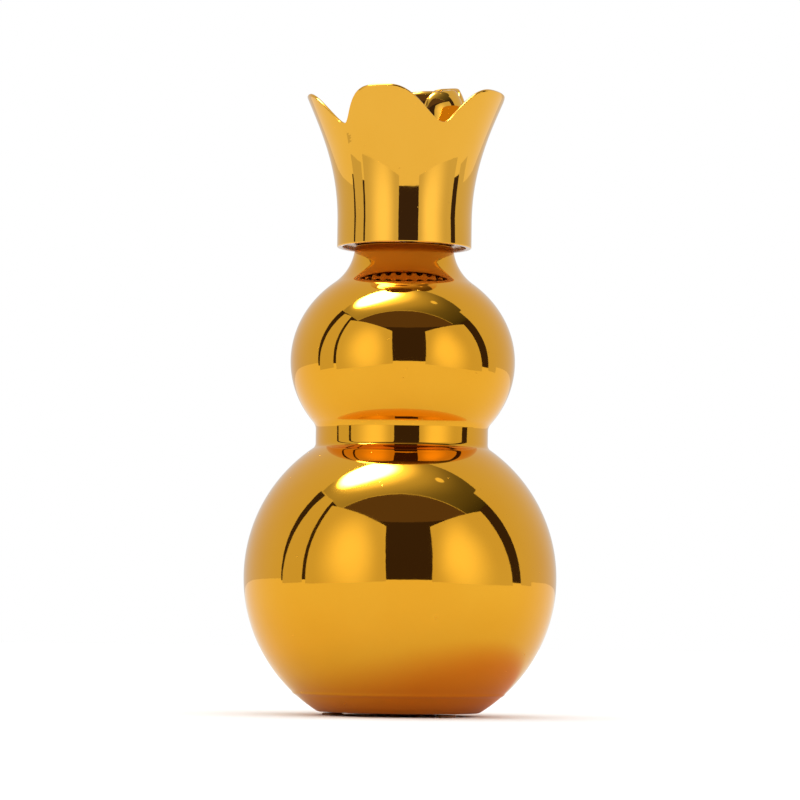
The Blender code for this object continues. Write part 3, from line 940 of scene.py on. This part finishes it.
@dataclass
class Pourer:
    """Plug in the mouth with its bead and the spout that keeps the bead in."""

    lip: float
    gap: float = 0.0003
    radius: float = 0.0099
    flange_radius: float = 0.0132
    flange: float = 0.0010
    wall: float = 0.0012
    length: float = 0.0200
    edge: float = 0.0004
    seat_hole: float = 0.0020
    ring_count: int = 4
    ring_rise: float = 0.00022
    ring_pitch: float = 0.0031
    ring_start_share: float = 1.4
    ring_height_share: float = 1.5
    bead_radius: float = 0.0035
    bead_gap: float = 0.0002
    bead_lift: float = 0.0030
    bar_width: float = 0.0016
    bar_height: float = 0.0012
    bar_rise: float = 0.0003
    bar_rounding_share: float = 0.3
    bar_drop: float = 0.00002
    segments: int = 128

    def __post_init__(self) -> None:
        """Work out the heights that follow from the sizes."""
        self.seat = self.lip + self.gap
        self.top = self.seat + self.flange
        self.foot = self.seat - self.length
        self.bore = self.radius - self.wall
        seat_rise = (self.bead_radius + self.bead_gap) * math.sqrt(2)
        self.bead_centre = self.foot + self.wall - self.seat_hole + seat_rise

    def plug(self, material: bpy.types.Material) -> bpy.types.Object:
        """Plug with sealing rings, a flange on the lip and a cone at its foot.

        Args:
            material: Finish of the piece.

        Returns:
            The plug.
        """
        wall, edge, half_flange = self.radius - self.edge, self.edge, self.flange / 2
        rings = []
        for number in range(self.ring_count):
            middle = self.foot + self.ring_pitch * (number + self.ring_start_share)
            rings += arc((wall, middle), (edge + self.ring_rise, edge * self.ring_height_share),
                         -QUARTER, QUARTER, 8)
        outline = joined(
            [(self.seat_hole, self.foot)],
            rounded(Corner.LOW_OUTER, (wall, self.foot), edge, 5),
            rings,
            [(wall, self.seat - edge), (self.radius, self.seat)],
            arc((self.flange_radius - half_flange, self.seat + half_flange),
                (half_flange, half_flange), -QUARTER, QUARTER, 10),
            rounded(Corner.HIGH_INNER, (self.bore, self.top), edge, 5),
            [(self.bore, self.foot + self.wall + self.bore - self.seat_hole),
             (self.seat_hole, self.foot + self.wall)],
        )
        return finished("pourer_plug", turned(outline, self.segments), Body.BOTTLE,
                        material, ["pourer_body"])

    def bead(self, material: bpy.types.Material) -> bpy.types.Object:
        """Glass bead on its seat.

        Args:
            material: Finish of the piece.

        Returns:
            The bead.
        """
        mesh = bmesh.new()
        bmesh.ops.create_icosphere(mesh, subdivisions=5, radius=self.bead_radius)
        bmesh.ops.translate(mesh, vec=(0, 0, self.bead_centre), verts=mesh.verts[:])
        return finished("pourer_bead", mesh, Body.BEAD, material, ["check_bead"])

    def spout(self, material: bpy.types.Material) -> bpy.types.Object:
        """Sleeve with a drip lip and crossed bars under it.

        Args:
            material: Finish of the piece.

        Returns:
            The sleeve, without its bars.
        """
        outside = self.bore - self.gap
        inside = outside - self.wall
        top = self.top - self.gap
        foot = self.bead_centre + self.bead_radius + self.bead_lift + self.gap
        outline = joined(
            rounded(Corner.LOW_INNER, (inside, foot), self.edge, 4),
            rounded(Corner.LOW_OUTER, (outside, foot), self.edge, 4),
            rounded(Corner.HIGH_OUTER, (outside, top), self.edge, 4),
            rounded(Corner.HIGH_INNER, (inside, top), self.edge, 4),
        )
        spout = finished("pourer_spout", turned(outline, self.segments), Body.BOTTLE,
                         material, ["pour_spout"])
        bar_middle = foot + self.bar_rise + self.bar_height / 2
        for number in range(2):
            bar = self.bar(inside + self.wall / 2, bar_middle, number * QUARTER)
            finished(f"pourer_spout_bar_{number + 1}", bar, Body.BOTTLE, material)
        return spout

    def bar(self, reach: float, middle: float, turn: float) -> bmesh.types.BMesh:
        """Rounded bar across the spout's bore.

        Args:
            reach: Half the bar's length.
            middle: Height of its middle.
            turn: Angle of the bar, in radians.

        Returns:
            The bar's mesh. A turned bar lies a hair lower, so that two tops don't coincide.
        """
        mesh = bmesh.new()
        bmesh.ops.create_cube(mesh, size=1.0)
        bmesh.ops.scale(mesh, vec=(2 * reach, self.bar_width, self.bar_height),
                        verts=mesh.verts[:])
        bmesh.ops.bevel(mesh, geom=mesh.edges[:], offset=self.bar_height * self.bar_rounding_share,
                        affect="EDGES", segments=4, profile=0.5, material=-1)
        bmesh.ops.rotate(mesh, matrix=Matrix.Rotation(turn, 3, "Z"), verts=mesh.verts[:])
        bmesh.ops.translate(mesh, vec=(0, 0, middle - turn * self.bar_drop), verts=mesh.verts[:])
        return mesh


@dataclass
class Closure:
    """Ribbed screw closure inside the skirt, with its sealing disc."""

    seat: float
    foot: float = 0.0010
    ceiling: float = 0.0261
    top: float = 0.0277
    bore: float = 0.0159
    rib_radius: float = 0.0195
    rib_height: float = 0.0014
    rib_count: int = 24
    edge: float = 0.0005
    rib_row: float = 0.002
    groove_share: float = 0.9
    thread: Thread = Thread(depth=0.0009, width_share=0.34, offset_share=0.5)
    thread_bottom: float = 0.0030
    thread_top: float = 0.0215
    thread_row: float = 0.00025
    liner_bottom: float = 0.0243
    liner_thickness: float = 0.0015
    liner_radius: float = 0.0156
    liner_edge: float = 0.0003
    liner_dents: tuple[Point, ...] = ((0.0091, 0.0), (0.0094, 0.00012), (0.0130, 0.00012),
                                      (0.0133, 0.0))
    liner_segments: int = 128
    segments: int = 288

    def cup(self, material: bpy.types.Material) -> bpy.types.Object:
        """Cup with rounded grip ribs outside and a screw thread inside.

        Args:
            material: Finish of the piece.

        Returns:
            The cup.
        """
        bore, ribs, foot, edge = self.bore, self.rib_radius, self.foot, self.edge
        outline = joined(
            [(0, self.ceiling)],
            line((bore, self.ceiling), (bore, foot + edge), self.thread_row),
            rounded(Corner.LOW_INNER, (bore, foot), edge, 4),
            rounded(Corner.LOW_OUTER, (ribs, foot), edge, 4),
            line((ribs, foot + edge), (ribs, self.top - edge), self.rib_row),
            rounded(Corner.HIGH_OUTER, (ribs, self.top), edge, 4),
            [(0, self.top)],
        )
        mesh = turned(outline, self.segments)
        bmesh.ops.translate(mesh, vec=(0, 0, self.seat), verts=mesh.verts[:])
        core = ribs - self.rib_height
        bottom, top = self.seat + self.thread_bottom, self.seat + self.thread_top
        for vert in mesh.verts:
            reach = reach_of(vert)
            if abs(reach - bore) < MERGE_DISTANCE and bottom < vert.co.z < top:
                set_reach(vert, bore - self.thread.relief(vert, bottom, top))
            elif reach > core:
                wave = math.cos(bearing_of(vert) * self.rib_count)
                groove = smooth_step(0.5 - wave * self.groove_share)
                set_reach(vert, core + (reach - core) * (1 - groove))
        return finished("screw_closure", mesh, Body.CAP, material,
                        ["inner_closure"])

    def disc(self, material: bpy.types.Material) -> bpy.types.Object:
        """Foam disc with the ring that the flange has pressed into it.

        Args:
            material: Finish of the piece.

        Returns:
            The disc.
        """
        section = disc_section(self.liner_radius, self.liner_thickness, self.liner_edge, 4)
        mesh = turned(joined(section[:1], self.liner_dents, section[1:]), self.liner_segments)
        bmesh.ops.translate(mesh, vec=(0, 0, self.seat + self.liner_bottom), verts=mesh.verts[:])
        return finished("foam_liner", mesh, Body.LINER, material, ["closure_liner"])


@dataclass
class Crown:
    """Shell of the cap: a straight skirt that flares into five petals."""

    seat: float
    skirt_radius: float = 0.0216
    skirt_bore: float = 0.0198
    skirt_edge: float = 0.0004
    deck_bottom: float = 0.0280
    deck_top: float = 0.0296
    flare_start: float = 0.0082
    flare_spread: float = 0.0104
    flare_handle_shares: tuple[Point, Point] = ((0.0, 0.419), (0.481, 0.690))
    petal_root: float = 0.0317
    petal_height: float = 0.0171
    notch_depth: float = 0.0109
    valley_depth: float = 0.0004
    valley_start: float = 0.0300
    rim_wall: float = 0.0010
    # Margin inside the skirt's outer radius where the painted shade stops.
    shade_margin: float = 0.0003
    notch_bearings: tuple[float, ...] = (-46.0, 26.5, 111.0, 169.5, 228.0)
    tip_bearings: tuple[float, ...] = (-11.0, 69.0, 141.0, 198.0, 277.0)
    tip_rises: tuple[float, ...] = (0.0, 0.0007, 0.0, 0.0, 0.0)
    shoulder_powers: tuple[Point, ...] = ((2.3, 1.2), (2.2, 1.9), (1.8, 1.8), (1.8, 1.8),
                                          (1.9, 1.4))
    skirt_row: float = 0.0012
    flare_row: float = 0.0010
    petal_row: float = 0.0006
    segments: int = 360

    def __post_init__(self) -> None:
        """Work out the height of the tips and the skirt's wall."""
        self.height = self.petal_root + self.petal_height
        self.skirt_wall = self.skirt_radius - self.skirt_bore

    def shaded_inside(self) -> Point:
        """Radius and height within which the skirt's inside gets painted shade, below the deck."""
        return self.skirt_radius - self.shade_margin, self.seat + self.deck_bottom

    def petal_at(self, angle: float) -> Point:
        """Fall of the rim at an angle, 0 on a tip and 1 in a notch, and the rise of that tip.

        Args:
            angle: Angle from the front towards +X, in radians.

        Returns:
            Fall and rise.
        """
        first = self.notch_bearings[0]
        bearing = (math.degrees(angle) - first) % 360 + first
        ends = self.notch_bearings[1:] + (first + 360,)
        petals = zip(self.notch_bearings, self.tip_bearings, ends, self.tip_rises,
                     self.shoulder_powers)
        for start, tip, end, rise, powers in petals:
            if bearing < tip:
                return smooth_step(((tip - bearing) / (tip - start)) ** powers[0]), rise
            if bearing <= end:
                return smooth_step(((bearing - tip) / (end - tip)) ** powers[1]), rise
        return 1.0, 0.0

    def flare_point(self, share: float) -> Point:
        """Radius and height of the crown's outer line at a share of its curve.

        Args:
            share: Share of the way up the flare, from 0 to 1.

        Returns:
            Radius and height.
        """
        shares = ((0.0, 0.0),) + self.flare_handle_shares + ((1.0, 1.0),)
        rest = 1 - share
        weights = (rest ** 3, 3 * share * rest ** 2, 3 * share ** 2 * rest, share ** 3)
        across = sum(weight * pair[0] for weight, pair in zip(weights, shares))
        along = sum(weight * pair[1] for weight, pair in zip(weights, shares))
        rise = self.height - self.flare_start
        return self.skirt_radius + self.flare_spread * across, self.flare_start + rise * along

    def flare_radius(self, height: float) -> float:
        """Outer radius of the crown at a height above the cap's seat.

        Args:
            height: Height above the seat.

        Returns:
            The radius between the valleys.
        """
        if height <= self.flare_start:
            return self.skirt_radius
        share = bisect(lambda s: self.flare_point(s)[1] - height, 0.0, 1.0)
        return self.flare_point(share)[0]

    def wall_at(self, height: float) -> float:
        """Thickness of the crown, thinner towards the rim.

        Args:
            height: Height above the seat.

        Returns:
            The wall's thickness.
        """
        share = (height - self.deck_top) / (self.height - self.deck_top)
        return self.skirt_wall + (self.rim_wall - self.skirt_wall) * min(max(share, 0.0), 1.0)

    def outline(self) -> list[Point]:
        """Section of the crown through a petal's tip, in the cap's own heights.

        Returns:
            Points of radius and height, in order.
        """
        half_rim = self.rim_wall / 2
        shoulder = self.height - half_rim
        edge = self.skirt_edge

        def rows(low: float, high: float, step: float) -> list[float]:
            """Heights from one to another, at most a step apart."""
            return [point[1] for point in line((0, low), (0, high), step)]

        under = rows(self.deck_bottom, self.flare_start, self.skirt_row)
        low = rows(self.flare_start, self.petal_root, self.flare_row)
        high = rows(self.petal_root, shoulder, self.petal_row)
        inside = rows(self.petal_root, shoulder, self.flare_row)
        rim_centre = (self.flare_radius(shoulder) - half_rim, shoulder)
        return joined(
            [(0, self.deck_bottom)],
            [(self.flare_radius(z) - self.skirt_wall, z) for z in under],
            rounded(Corner.LOW_INNER, (self.skirt_bore, 0.0), edge, 4),
            rounded(Corner.LOW_OUTER, (self.skirt_radius, 0.0), edge, 6),
            [(self.flare_radius(z), z) for z in low + high],
            arc(rim_centre, (half_rim, half_rim), 0.0, math.pi, 8)[1:-1],
            [(self.flare_radius(z) - self.wall_at(z), z) for z in reversed(inside)],
            [(self.flare_radius(self.deck_top) - self.skirt_wall, self.deck_top),
             (0, self.deck_top)],
        )

    def shape_petals(self, mesh: bmesh.types.BMesh) -> None:
        """Draw the turned shell down to its notches and in along its valleys.

        Args:
            mesh: Mesh of the shell, with all petals still at full height.
        """
        notch = self.height - self.notch_depth
        radii: dict[int, float] = {}

        def flare(height: float) -> float:
            """Outer radius at a height, remembered to a hundredth of a millimetre.

            Args:
                height: Height above the seat.

            Returns:
                The radius between the valleys.
            """
            key = round(height * 100000)
            if key not in radii:
                radii[key] = self.flare_radius(key / 100000)
            return radii[key]

        for vert in mesh.verts:
            height, reach = vert.co.z, reach_of(vert)
            if height <= self.valley_start or reach < flare(height) - 2 * self.skirt_wall:
                continue
            fall, rise = self.petal_at(bearing_of(vert))
            inset = flare(height) - reach
            if height > self.petal_root:
                share = (height - self.petal_root) / self.petal_height
                height += share * (rise * (1 - fall) - self.notch_depth * fall)
            depth = smooth_step((height - self.valley_start) / (notch - self.valley_start))
            outside = inset < self.skirt_wall / 2 or height > self.petal_root
            valley = self.valley_depth * fall * depth if outside else 0.0
            set_reach(vert, flare(height) - inset - valley)
            vert.co.z = height

    def build(self, material: bpy.types.Material) -> bpy.types.Object:
        """Make the shell and stand it in place of its CAD node.

        Args:
            material: Finish of the piece.

        Returns:
            The shell.
        """
        mesh = turned(self.outline(), self.segments)
        self.shape_petals(mesh)
        bmesh.ops.translate(mesh, vec=(0, 0, self.seat), verts=mesh.verts[:])
        return finished("petal_crown", mesh, Body.CAP, material, ["crown_shell"])


@dataclass
class RoseBud:
    """Bud in the crown: one sheet rolled into a scroll of lobes on a disc."""

    base: float
    offset: float = 0.0045
    disc_radius: float = 0.01796
    disc_thickness: float = 0.0016
    disc_edge: float = 0.0004
    disc_segments: int = 128
    sheet: float = 0.0011
    sink: float = 0.0008
    start_radius: float = 0.0040
    end_radius: float = 0.01731
    pitch: float = 0.0042
    end_bearing: float = 200.0
    rim_rise: float = 0.0207
    rim_tilt: float = 0.0029
    tilt_bearing: float = 150.0
    lobe_edges: tuple[float, ...] = (270.0, 184.0, 84.0, -2.0, -100.0, -200.0, -310.0, -410.0,
                                     -520.0, -640.0, -760.0, -960.0)
    lobe_drop: float = 0.0095
    lobe_power: float = 3.0
    lobe_cup: float = 0.0008
    end_drop: float = 0.0070
    end_span: float = 25.0
    belly_share: float = 0.70
    lean_share: float = 0.07
    closing_share: float = 0.12
    steps_per_turn: int = 120
    rows: int = 28
    rim_rows: int = 8
    nudge: float = 0.001

    def __post_init__(self) -> None:
        """Work out the number of turns and of steps round the sheet's section."""
        self.turns = (self.end_radius - self.start_radius) / self.pitch
        self.round_steps = 2 * self.rows + self.rim_rows

    def lobe_aside(self, bearing: float) -> float:
        """How far a bearing is from the middle of its lobe, 0 on its tip and 1 at its edge.

        Args:
            bearing: Bearing along the roll, in degrees.

        Returns:
            The share.
        """
        for high, low in zip(self.lobe_edges, self.lobe_edges[1:]):
            if low <= bearing <= high:
                return abs(2 * (bearing - low) / (high - low) - 1)
        return 1.0

    def sheet_point(self, along: float, up: float) -> Vector:
        """Middle of the sheet: along the roll from its heart, and up from its disc.

        Args:
            along: Share of the roll from its heart.
            up: Share of the sheet's height.

        Returns:
            The point in the bud's own heights.
        """
        degrees = self.end_bearing - 360.0 * self.turns * (1 - along)
        bearing = math.radians(degrees)
        roll = self.start_radius + (self.end_radius - self.start_radius) * along
        tilt = math.cos(bearing - math.radians(self.tilt_bearing))
        to_end = (self.end_bearing - degrees) / self.end_span
        aside = self.lobe_aside(degrees)
        drop = self.lobe_drop * smooth_step(aside ** self.lobe_power)
        rim = self.rim_rise + (self.rim_tilt * tilt - drop) * along
        rim -= self.end_drop * smooth_step(1 - to_end)
        leaning = self.lean_share * min(up / self.belly_share, 1.0)
        over_belly = max((up - self.belly_share) / (1 - self.belly_share), 0.0)
        closing = self.closing_share * over_belly ** 2
        radius = roll * (1 - leaning - closing) - self.lobe_cup * aside ** 2 * along * up
        foot = self.disc_thickness - self.sink
        height = foot + (rim - self.sheet / 2 - foot) * up
        across = self.offset + radius * math.sin(bearing)
        return Vector((across, -radius * math.cos(bearing), height))

    def section_point(self, along: float, round_share: float) -> Vector:
        """Point of the sheet's skin, up its outer face, over its rim and down its inner face.

        Args:
            along: Share of the roll from its heart.
            round_share: Share of the way round the section.

        Returns:
            The point in the bud's own heights.
        """
        row = round_share * self.round_steps
        half = self.sheet / 2
        if row <= self.rows:
            up, turn = row / self.rows, 0.0
        elif row >= self.rows + self.rim_rows:
            up, turn = (self.round_steps - row) / self.rows, math.pi
        else:
            up, turn = 1.0, math.pi * (row - self.rows) / self.rim_rows
        middle = self.sheet_point(along, up)
        ahead = (self.sheet_point(min(along + self.nudge, 1.0), up)
                 - self.sheet_point(max(along - self.nudge, 0.0), up))
        rising = (middle - self.sheet_point(along, up - self.nudge)).normalized()
        outward = rising.cross(ahead).normalized()
        return middle + outward * (half * math.cos(turn)) + rising * (half * math.sin(turn))

    def build(self, material: bpy.types.Material) -> bpy.types.Object:
        """Make the scroll and its disc and stand them in place of their CAD node.

        Args:
            material: Finish of both pieces.

        Returns:
            The scroll.
        """
        mesh = bmesh.new()
        bmesh.ops.create_grid(mesh, x_segments=round(self.turns * self.steps_per_turn),
                              y_segments=self.round_steps, size=1.0)
        for vert in mesh.verts:
            vert.co = self.section_point((vert.co.x + 1) / 2, (vert.co.y + 1) / 2)
        bmesh.ops.holes_fill(mesh, edges=[edge for edge in mesh.edges if edge.is_boundary],
                             sides=0)
        bmesh.ops.triangulate(mesh, faces=[face for face in mesh.faces if len(face.verts) > 4])
        bmesh.ops.recalc_face_normals(mesh, faces=mesh.faces[:])
        bmesh.ops.translate(mesh, vec=(0, 0, self.base), verts=mesh.verts[:])
        bud = finished("rolled_bud", mesh, Body.CAP, material, ["rose_bud"])
        disc = turned(disc_section(self.disc_radius, self.disc_thickness, self.disc_edge, 4),
                      self.disc_segments)
        bmesh.ops.translate(disc, vec=(self.offset, 0, self.base), verts=disc.verts[:])
        finished("bud_disc", disc, Body.CAP, material)
        return bud


@dataclass(frozen=True)
class GlowSpot:
    """Round patch of light on a card.

    Attributes:
        centre: Place on the card, as shares of its width and height.
        reach: Half width and half height of the patch, as shares of the card.
        strength: Light added in its middle.
        even_share: Share of the reach over which the light stays the same.
    """

    centre: Point
    reach: Point
    strength: float
    even_share: float = 0.0


@dataclass(frozen=True)
class Card:
    """Flat or upright card of the studio that the plating mirrors.

    Attributes:
        name: Name of the card.
        corners: Its four corners, in order from the low left one, seen from the bottle.
        strength: Light of the card's ground.
        spots: Brighter patches on it.
        far_strength: Light at the card's right edge, where it isn't even.
        tint: Colour of the card's light.
    """

    name: str
    corners: tuple[Place, ...]
    strength: float
    spots: tuple[GlowSpot, ...] = ()
    far_strength: float | None = None
    tint: Colour = (1.0, 1.0, 1.0)


def level(left: float, right: float, front: float, back: float,
          height: float) -> tuple[Place, ...]:
    """Corners of a level card over the set."""
    return ((left, front, height), (right, front, height), (right, back, height),
            (left, back, height))


@dataclass
class Studio:
    """Pale floor, soft boxes, dark side of the room, ceiling card, world and camera."""

    floor_size: float = 6.0
    floor_colour: Colour = (0.97, 0.97, 0.97)
    # Colours of the floor as the plating mirrors it: even further out, a darker and warmer painted
    # shadow near the foot.
    mirrored_floor: Colour = (0.73, 0.73, 0.71)
    mirrored_painted_shadow: Colour = (0.64, 0.40, 0.36)
    painted_shadow_offset: float = 0.018
    painted_shadow_reach: Point = (0.034, 0.066)
    room_radius: float = 1.4
    room_height: float = 1.55
    room_left: float = -95.6
    room_right: float = 103.0
    room_steps: int = 48
    room_strength: float = 0.042
    room_tint: Colour = (1.0, 0.72, 1.4)
    ceiling_height: float = 1.2
    ceiling_front: float = -0.612
    ceiling_lip: float = 0.014
    mirrored_strength: float = 0.70
    floor_strength: float = 1.27
    lens: float = 168.29
    sensor_width: float = 36.0
    seen_depth: Point = (0.01, 20.0)
    camera_place: Place = (0.0, -1.1974, 0.0299)
    camera_pitch: float = 3.395
    camera_yaw: float = 0.035
    camera_roll: float = 0.743

    def cards(self) -> tuple[Card, ...]:
        """Cards that light the bottle and show in its plating.

        Returns:
            The cards, without the dark room.
        """
        left_core = GlowSpot((0.48, 0.36), (0.48, 0.85), 0.52)
        right_core = GlowSpot((0.42, 0.36), (0.46, 0.85), 0.52)
        lamp = (
            GlowSpot((0.27, 0.76), (0.19, 0.34), 34.0, 0.55),
            GlowSpot((0.30, 0.74), (0.27, 0.60), 1.6, 0.3),
            GlowSpot((0.36, 0.60), (0.46, 0.90), 0.50),
            GlowSpot((0.635, 0.62), (0.030, 0.075), 0.7, 0.6),
        )
        high, front = self.ceiling_height, self.ceiling_front
        lip = front - self.ceiling_lip
        return (
            Card("left_soft_box", ((-0.563, -0.200, 0.0), (-0.142, -0.838, 0.0),
                                   (-0.178, -0.831, 0.655), (-0.555, -0.225, 0.620)),
                 0.70, (left_core,)),
            Card("right_soft_box", ((0.325, -0.785, 0.0), (0.740, -0.022, 0.0),
                                    (0.722, -0.170, 0.655), (0.350, -0.775, 0.644)),
                 0.70, (right_core,)),
            Card("left_fill", ((-0.748, 0.040, 0.0), (-0.721, -0.207, 0.0),
                               (-0.712, -0.234, 0.85), (-0.747, -0.062, 0.85)), 0.68),
            Card("right_fill", ((0.972, 0.128, 0.0), (0.940, 0.342, 0.0),
                                (0.940, 0.342, 1.2), (0.982, -0.050, 1.2)), 0.70),
            Card("ceiling", level(-1.05, 1.32, front, 0.06, high), 0.42, lamp, 0.05),
            Card("ceiling_edge", level(-1.05, 1.20, lip, front, high), 0.60),
            Card("dark_ceiling", level(-1.45, 1.45, -1.45, lip, high), 0.11,
                 tint=(1.0, 0.72, 1.0)),
        )

    def build(self) -> None:
        """Set up the stage, the world and the camera."""
        self.build_floor()
        for card in self.cards():
            self.build_card(card)
        self.build_room()
        self.build_world()
        self.build_camera()
        bpy.context.scene.view_settings.view_transform = "Standard"

    def stage_mesh(self, name: str, mesh: bmesh.types.BMesh, material: bpy.types.Material,
                   seen: bool) -> bpy.types.Object:
        """Turn a mesh into a stage object, which the camera sees only if asked.

        Args:
            name: Name of the object.
            mesh: Its mesh, which is freed here.
            material: Its material.
            seen: Whether the camera sees it and it throws a shadow.

        Returns:
            The object.
        """
        data = bpy.data.meshes.new(name)
        mesh.to_mesh(data)
        mesh.free()
        data.materials.append(material)
        piece = bpy.data.objects.new(name, data)
        bpy.context.scene.collection.objects.link(piece)
        piece.visible_camera = seen
        piece.visible_diffuse = seen
        piece.visible_shadow = seen
        return piece

    def glow(self, card: Card) -> bpy.types.Material:
        """Material of a card: an even glow with brighter patches.

        Args:
            card: Card that the material is for.

        Returns:
            The material.
        """
        material = bpy.data.materials.new(card.name + "_glow")
        material.use_nodes = True
        nodes = ShaderTree(material.node_tree)
        nodes.tree.nodes.clear()
        chart = nodes.add("UVMap")
        chart.uv_map = "card"
        place = chart.outputs["UV"]
        across = nodes.add("SeparateXYZ", Vector=place).outputs["X"]
        far_strength = card.strength if card.far_strength is None else card.far_strength
        total = nodes.ranged(across, 0.0, 1.0, card.strength, far_strength)
        for spot in card.spots:
            near = nodes.add("Mapping")
            near.vector_type = "TEXTURE"
            nodes.fill(near, Vector=place, Location=(*spot.centre, 0.0), Scale=(*spot.reach, 1.0))
            fade = nodes.ranged(nodes.length(near.outputs["Vector"]), spot.even_share, 1.0,
                                spot.strength, 0.0, "SMOOTHERSTEP")
            total = nodes.combined("ADD", total, fade)
        light = nodes.add("Emission", Strength=total, Color=card.tint)
        nodes.add("OutputMaterial", Surface=light.outputs["Emission"])
        return material

    def build_card(self, card: Card) -> None:
        """Make one card with its own map of width and height.

        Args:
            card: Card to make.
        """
        mesh = bmesh.new()
        bmesh.ops.create_grid(mesh, x_segments=1, y_segments=1, size=1.0)
        chart = mesh.loops.layers.uv.new("card")
        low_left, low_right, high_right, high_left = (Vector(corner) for corner in card.corners)
        for face in mesh.faces:
            for loop in face.loops:
                loop[chart].uv = ((loop.vert.co.x + 1) / 2, (loop.vert.co.y + 1) / 2)
        for vert in mesh.verts:
            across, up = (vert.co.x + 1) / 2, (vert.co.y + 1) / 2
            low = low_left.lerp(low_right, across)
            high = high_left.lerp(high_right, across)
            vert.co = low.lerp(high, up)
        self.stage_mesh(card.name, mesh, self.glow(card), False)

    def build_room(self) -> None:
        """Make the dark side of the room behind the camera."""
        mesh = bmesh.new()
        start, end = math.radians(self.room_left), math.radians(self.room_right)
        across, back = self.room_radius * math.sin(start), -self.room_radius * math.cos(start)
        foot = mesh.verts.new((across, back, 0.0))
        head = mesh.verts.new((across, back, self.room_height))
        edge = mesh.edges.new((foot, head))
        bmesh.ops.spin(mesh, geom=[foot, head, edge], cent=(0, 0, 0), axis=(0, 0, 1),
                       angle=end - start, steps=self.room_steps, use_merge=False)
        wall = Card("dark_room", (), self.room_strength, tint=self.room_tint)
        self.stage_mesh(wall.name, mesh, self.glow(wall), False)

    def build_floor(self) -> None:
        """Make the pale floor, white where no shadow falls, with a painted shadow in its mirrored
        image.
        """
        mesh = bmesh.new()
        bmesh.ops.create_grid(mesh, x_segments=1, y_segments=1, size=self.floor_size / 2)
        material = bpy.data.materials.new("pale_floor")
        material.use_nodes = True
        nodes = ShaderTree(material.node_tree)
        # Painted shadow: in the plating's image of the floor, the colour turns darker and warmer
        # towards a point just right of the bottle's axis, in place of the shadow and the gold-lit
        # bounce round its foot.
        shade = nodes.add("Mapping", Vector=nodes.add("TexCoord").outputs["Object"],
                          Location=(-self.painted_shadow_offset, 0.0, 0.0)).outputs["Vector"]
        painted_shadow_fade = nodes.ranged(nodes.length(shade), *self.painted_shadow_reach, 0.0, 1.0, "SMOOTHSTEP")
        mirrored = nodes.mixed(painted_shadow_fade, self.mirrored_painted_shadow, self.mirrored_floor)
        is_mirrored = nodes.add("LightPath").outputs["Is Glossy Ray"]
        nodes.fill(nodes.tree.nodes["Principled BSDF"], Roughness=1.0, Specular_IOR_Level=0.0,
                   Base_Color=nodes.mixed(is_mirrored, self.floor_colour, mirrored))
        self.stage_mesh("floor", mesh, material, True)

    def build_world(self) -> None:
        """Light from the pale room, which is plain white where the camera looks at it."""
        world = bpy.data.worlds.new("pale_room")
        bpy.context.scene.world = world
        world.use_nodes = True
        nodes = ShaderTree(world.node_tree)
        rays = nodes.add("LightPath")
        strength: Socket | float = 0.0
        for ray, share in (("Is Camera Ray", 1.0), ("Is Glossy Ray", self.mirrored_strength),
                           ("Is Diffuse Ray", self.floor_strength),
                           ("Is Transmission Ray", 1.0)):
            strength = nodes.combined("MULTIPLY_ADD", rays.outputs[ray], share, strength)
        nodes.fill(nodes.tree.nodes["Background"], Color=(1.0, 1.0, 1.0), Strength=strength)

    def build_camera(self) -> None:
        """Put the camera at the photograph's viewing angle."""
        data = bpy.data.cameras.new("camera")
        data.lens = self.lens
        data.sensor_width = self.sensor_width
        data.clip_start, data.clip_end = self.seen_depth
        camera = bpy.data.objects.new("camera", data)
        turn = (Matrix.Rotation(math.radians(self.camera_yaw), 4, "Z")
                @ Matrix.Rotation(math.radians(90.0 + self.camera_pitch), 4, "X")
                @ Matrix.Rotation(math.radians(self.camera_roll), 4, "Z"))
        camera.matrix_world = Matrix.Translation(self.camera_place) @ turn
        bpy.context.scene.collection.objects.link(camera)
        bpy.context.scene.camera = camera


def main() -> None:
    """Build the finishes, the pieces and the studio in order."""
    logging.basicConfig(level=logging.INFO, format="%(name)s: %(message)s")
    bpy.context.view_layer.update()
    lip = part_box("bottle_body")[1].z
    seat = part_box("crown_shell")[0].z
    bud_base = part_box("rose_bud")[0].z

    crown = Crown(seat)
    glass_gold = PlatedGold("glass_gold_finish", (0.90, 0.435, 0.031), (0.88, 0.41, 0.026)).build()
    # The cap's gold carries painted shade inside the skirt.
    cap_gold = PlatedGold("cap_gold_finish", (0.90, 0.47, 0.055), (0.88, 0.45, 0.048),
                          wave_depth=0.00001, waves_per_metre=90.0,
                          shaded_inside=crown.shaded_inside()).build()
    closure_gold = PlatedGold("closure_gold_finish", (0.52, 0.31, 0.15), (0.48, 0.28, 0.13),
                              roughness=(0.18, 0.32), grain_depth=0.000004,
                              metallic=0.4).build()
    pad_amber = SoftPlastic("pad_finish", (0.20, 0.08, 0.015), (0.14, 0.05, 0.01),
                            (0.25, 0.4)).build()
    fitment = SoftPlastic("fitment_finish", (0.86, 0.86, 0.83), (0.80, 0.80, 0.77)).build()
    foam = SoftPlastic("foam_finish", (0.90, 0.90, 0.88), (0.82, 0.82, 0.80), (0.7, 0.9),
                       grain_depth=0.00004, grains_per_metre=1600.0).build()

    Gourd(lip).build(glass_gold)
    FootPads().build(pad_amber)
    pourer = Pourer(lip)
    pourer.plug(fitment)
    pourer.bead(ClearGlass().build())
    pourer.spout(fitment)
    closure = Closure(seat)
    closure.cup(closure_gold)
    closure.disc(foam)
    crown.build(cap_gold)
    RoseBud(bud_base).build(cap_gold)
    Studio().build()


if __name__ == "__main__":
    main()
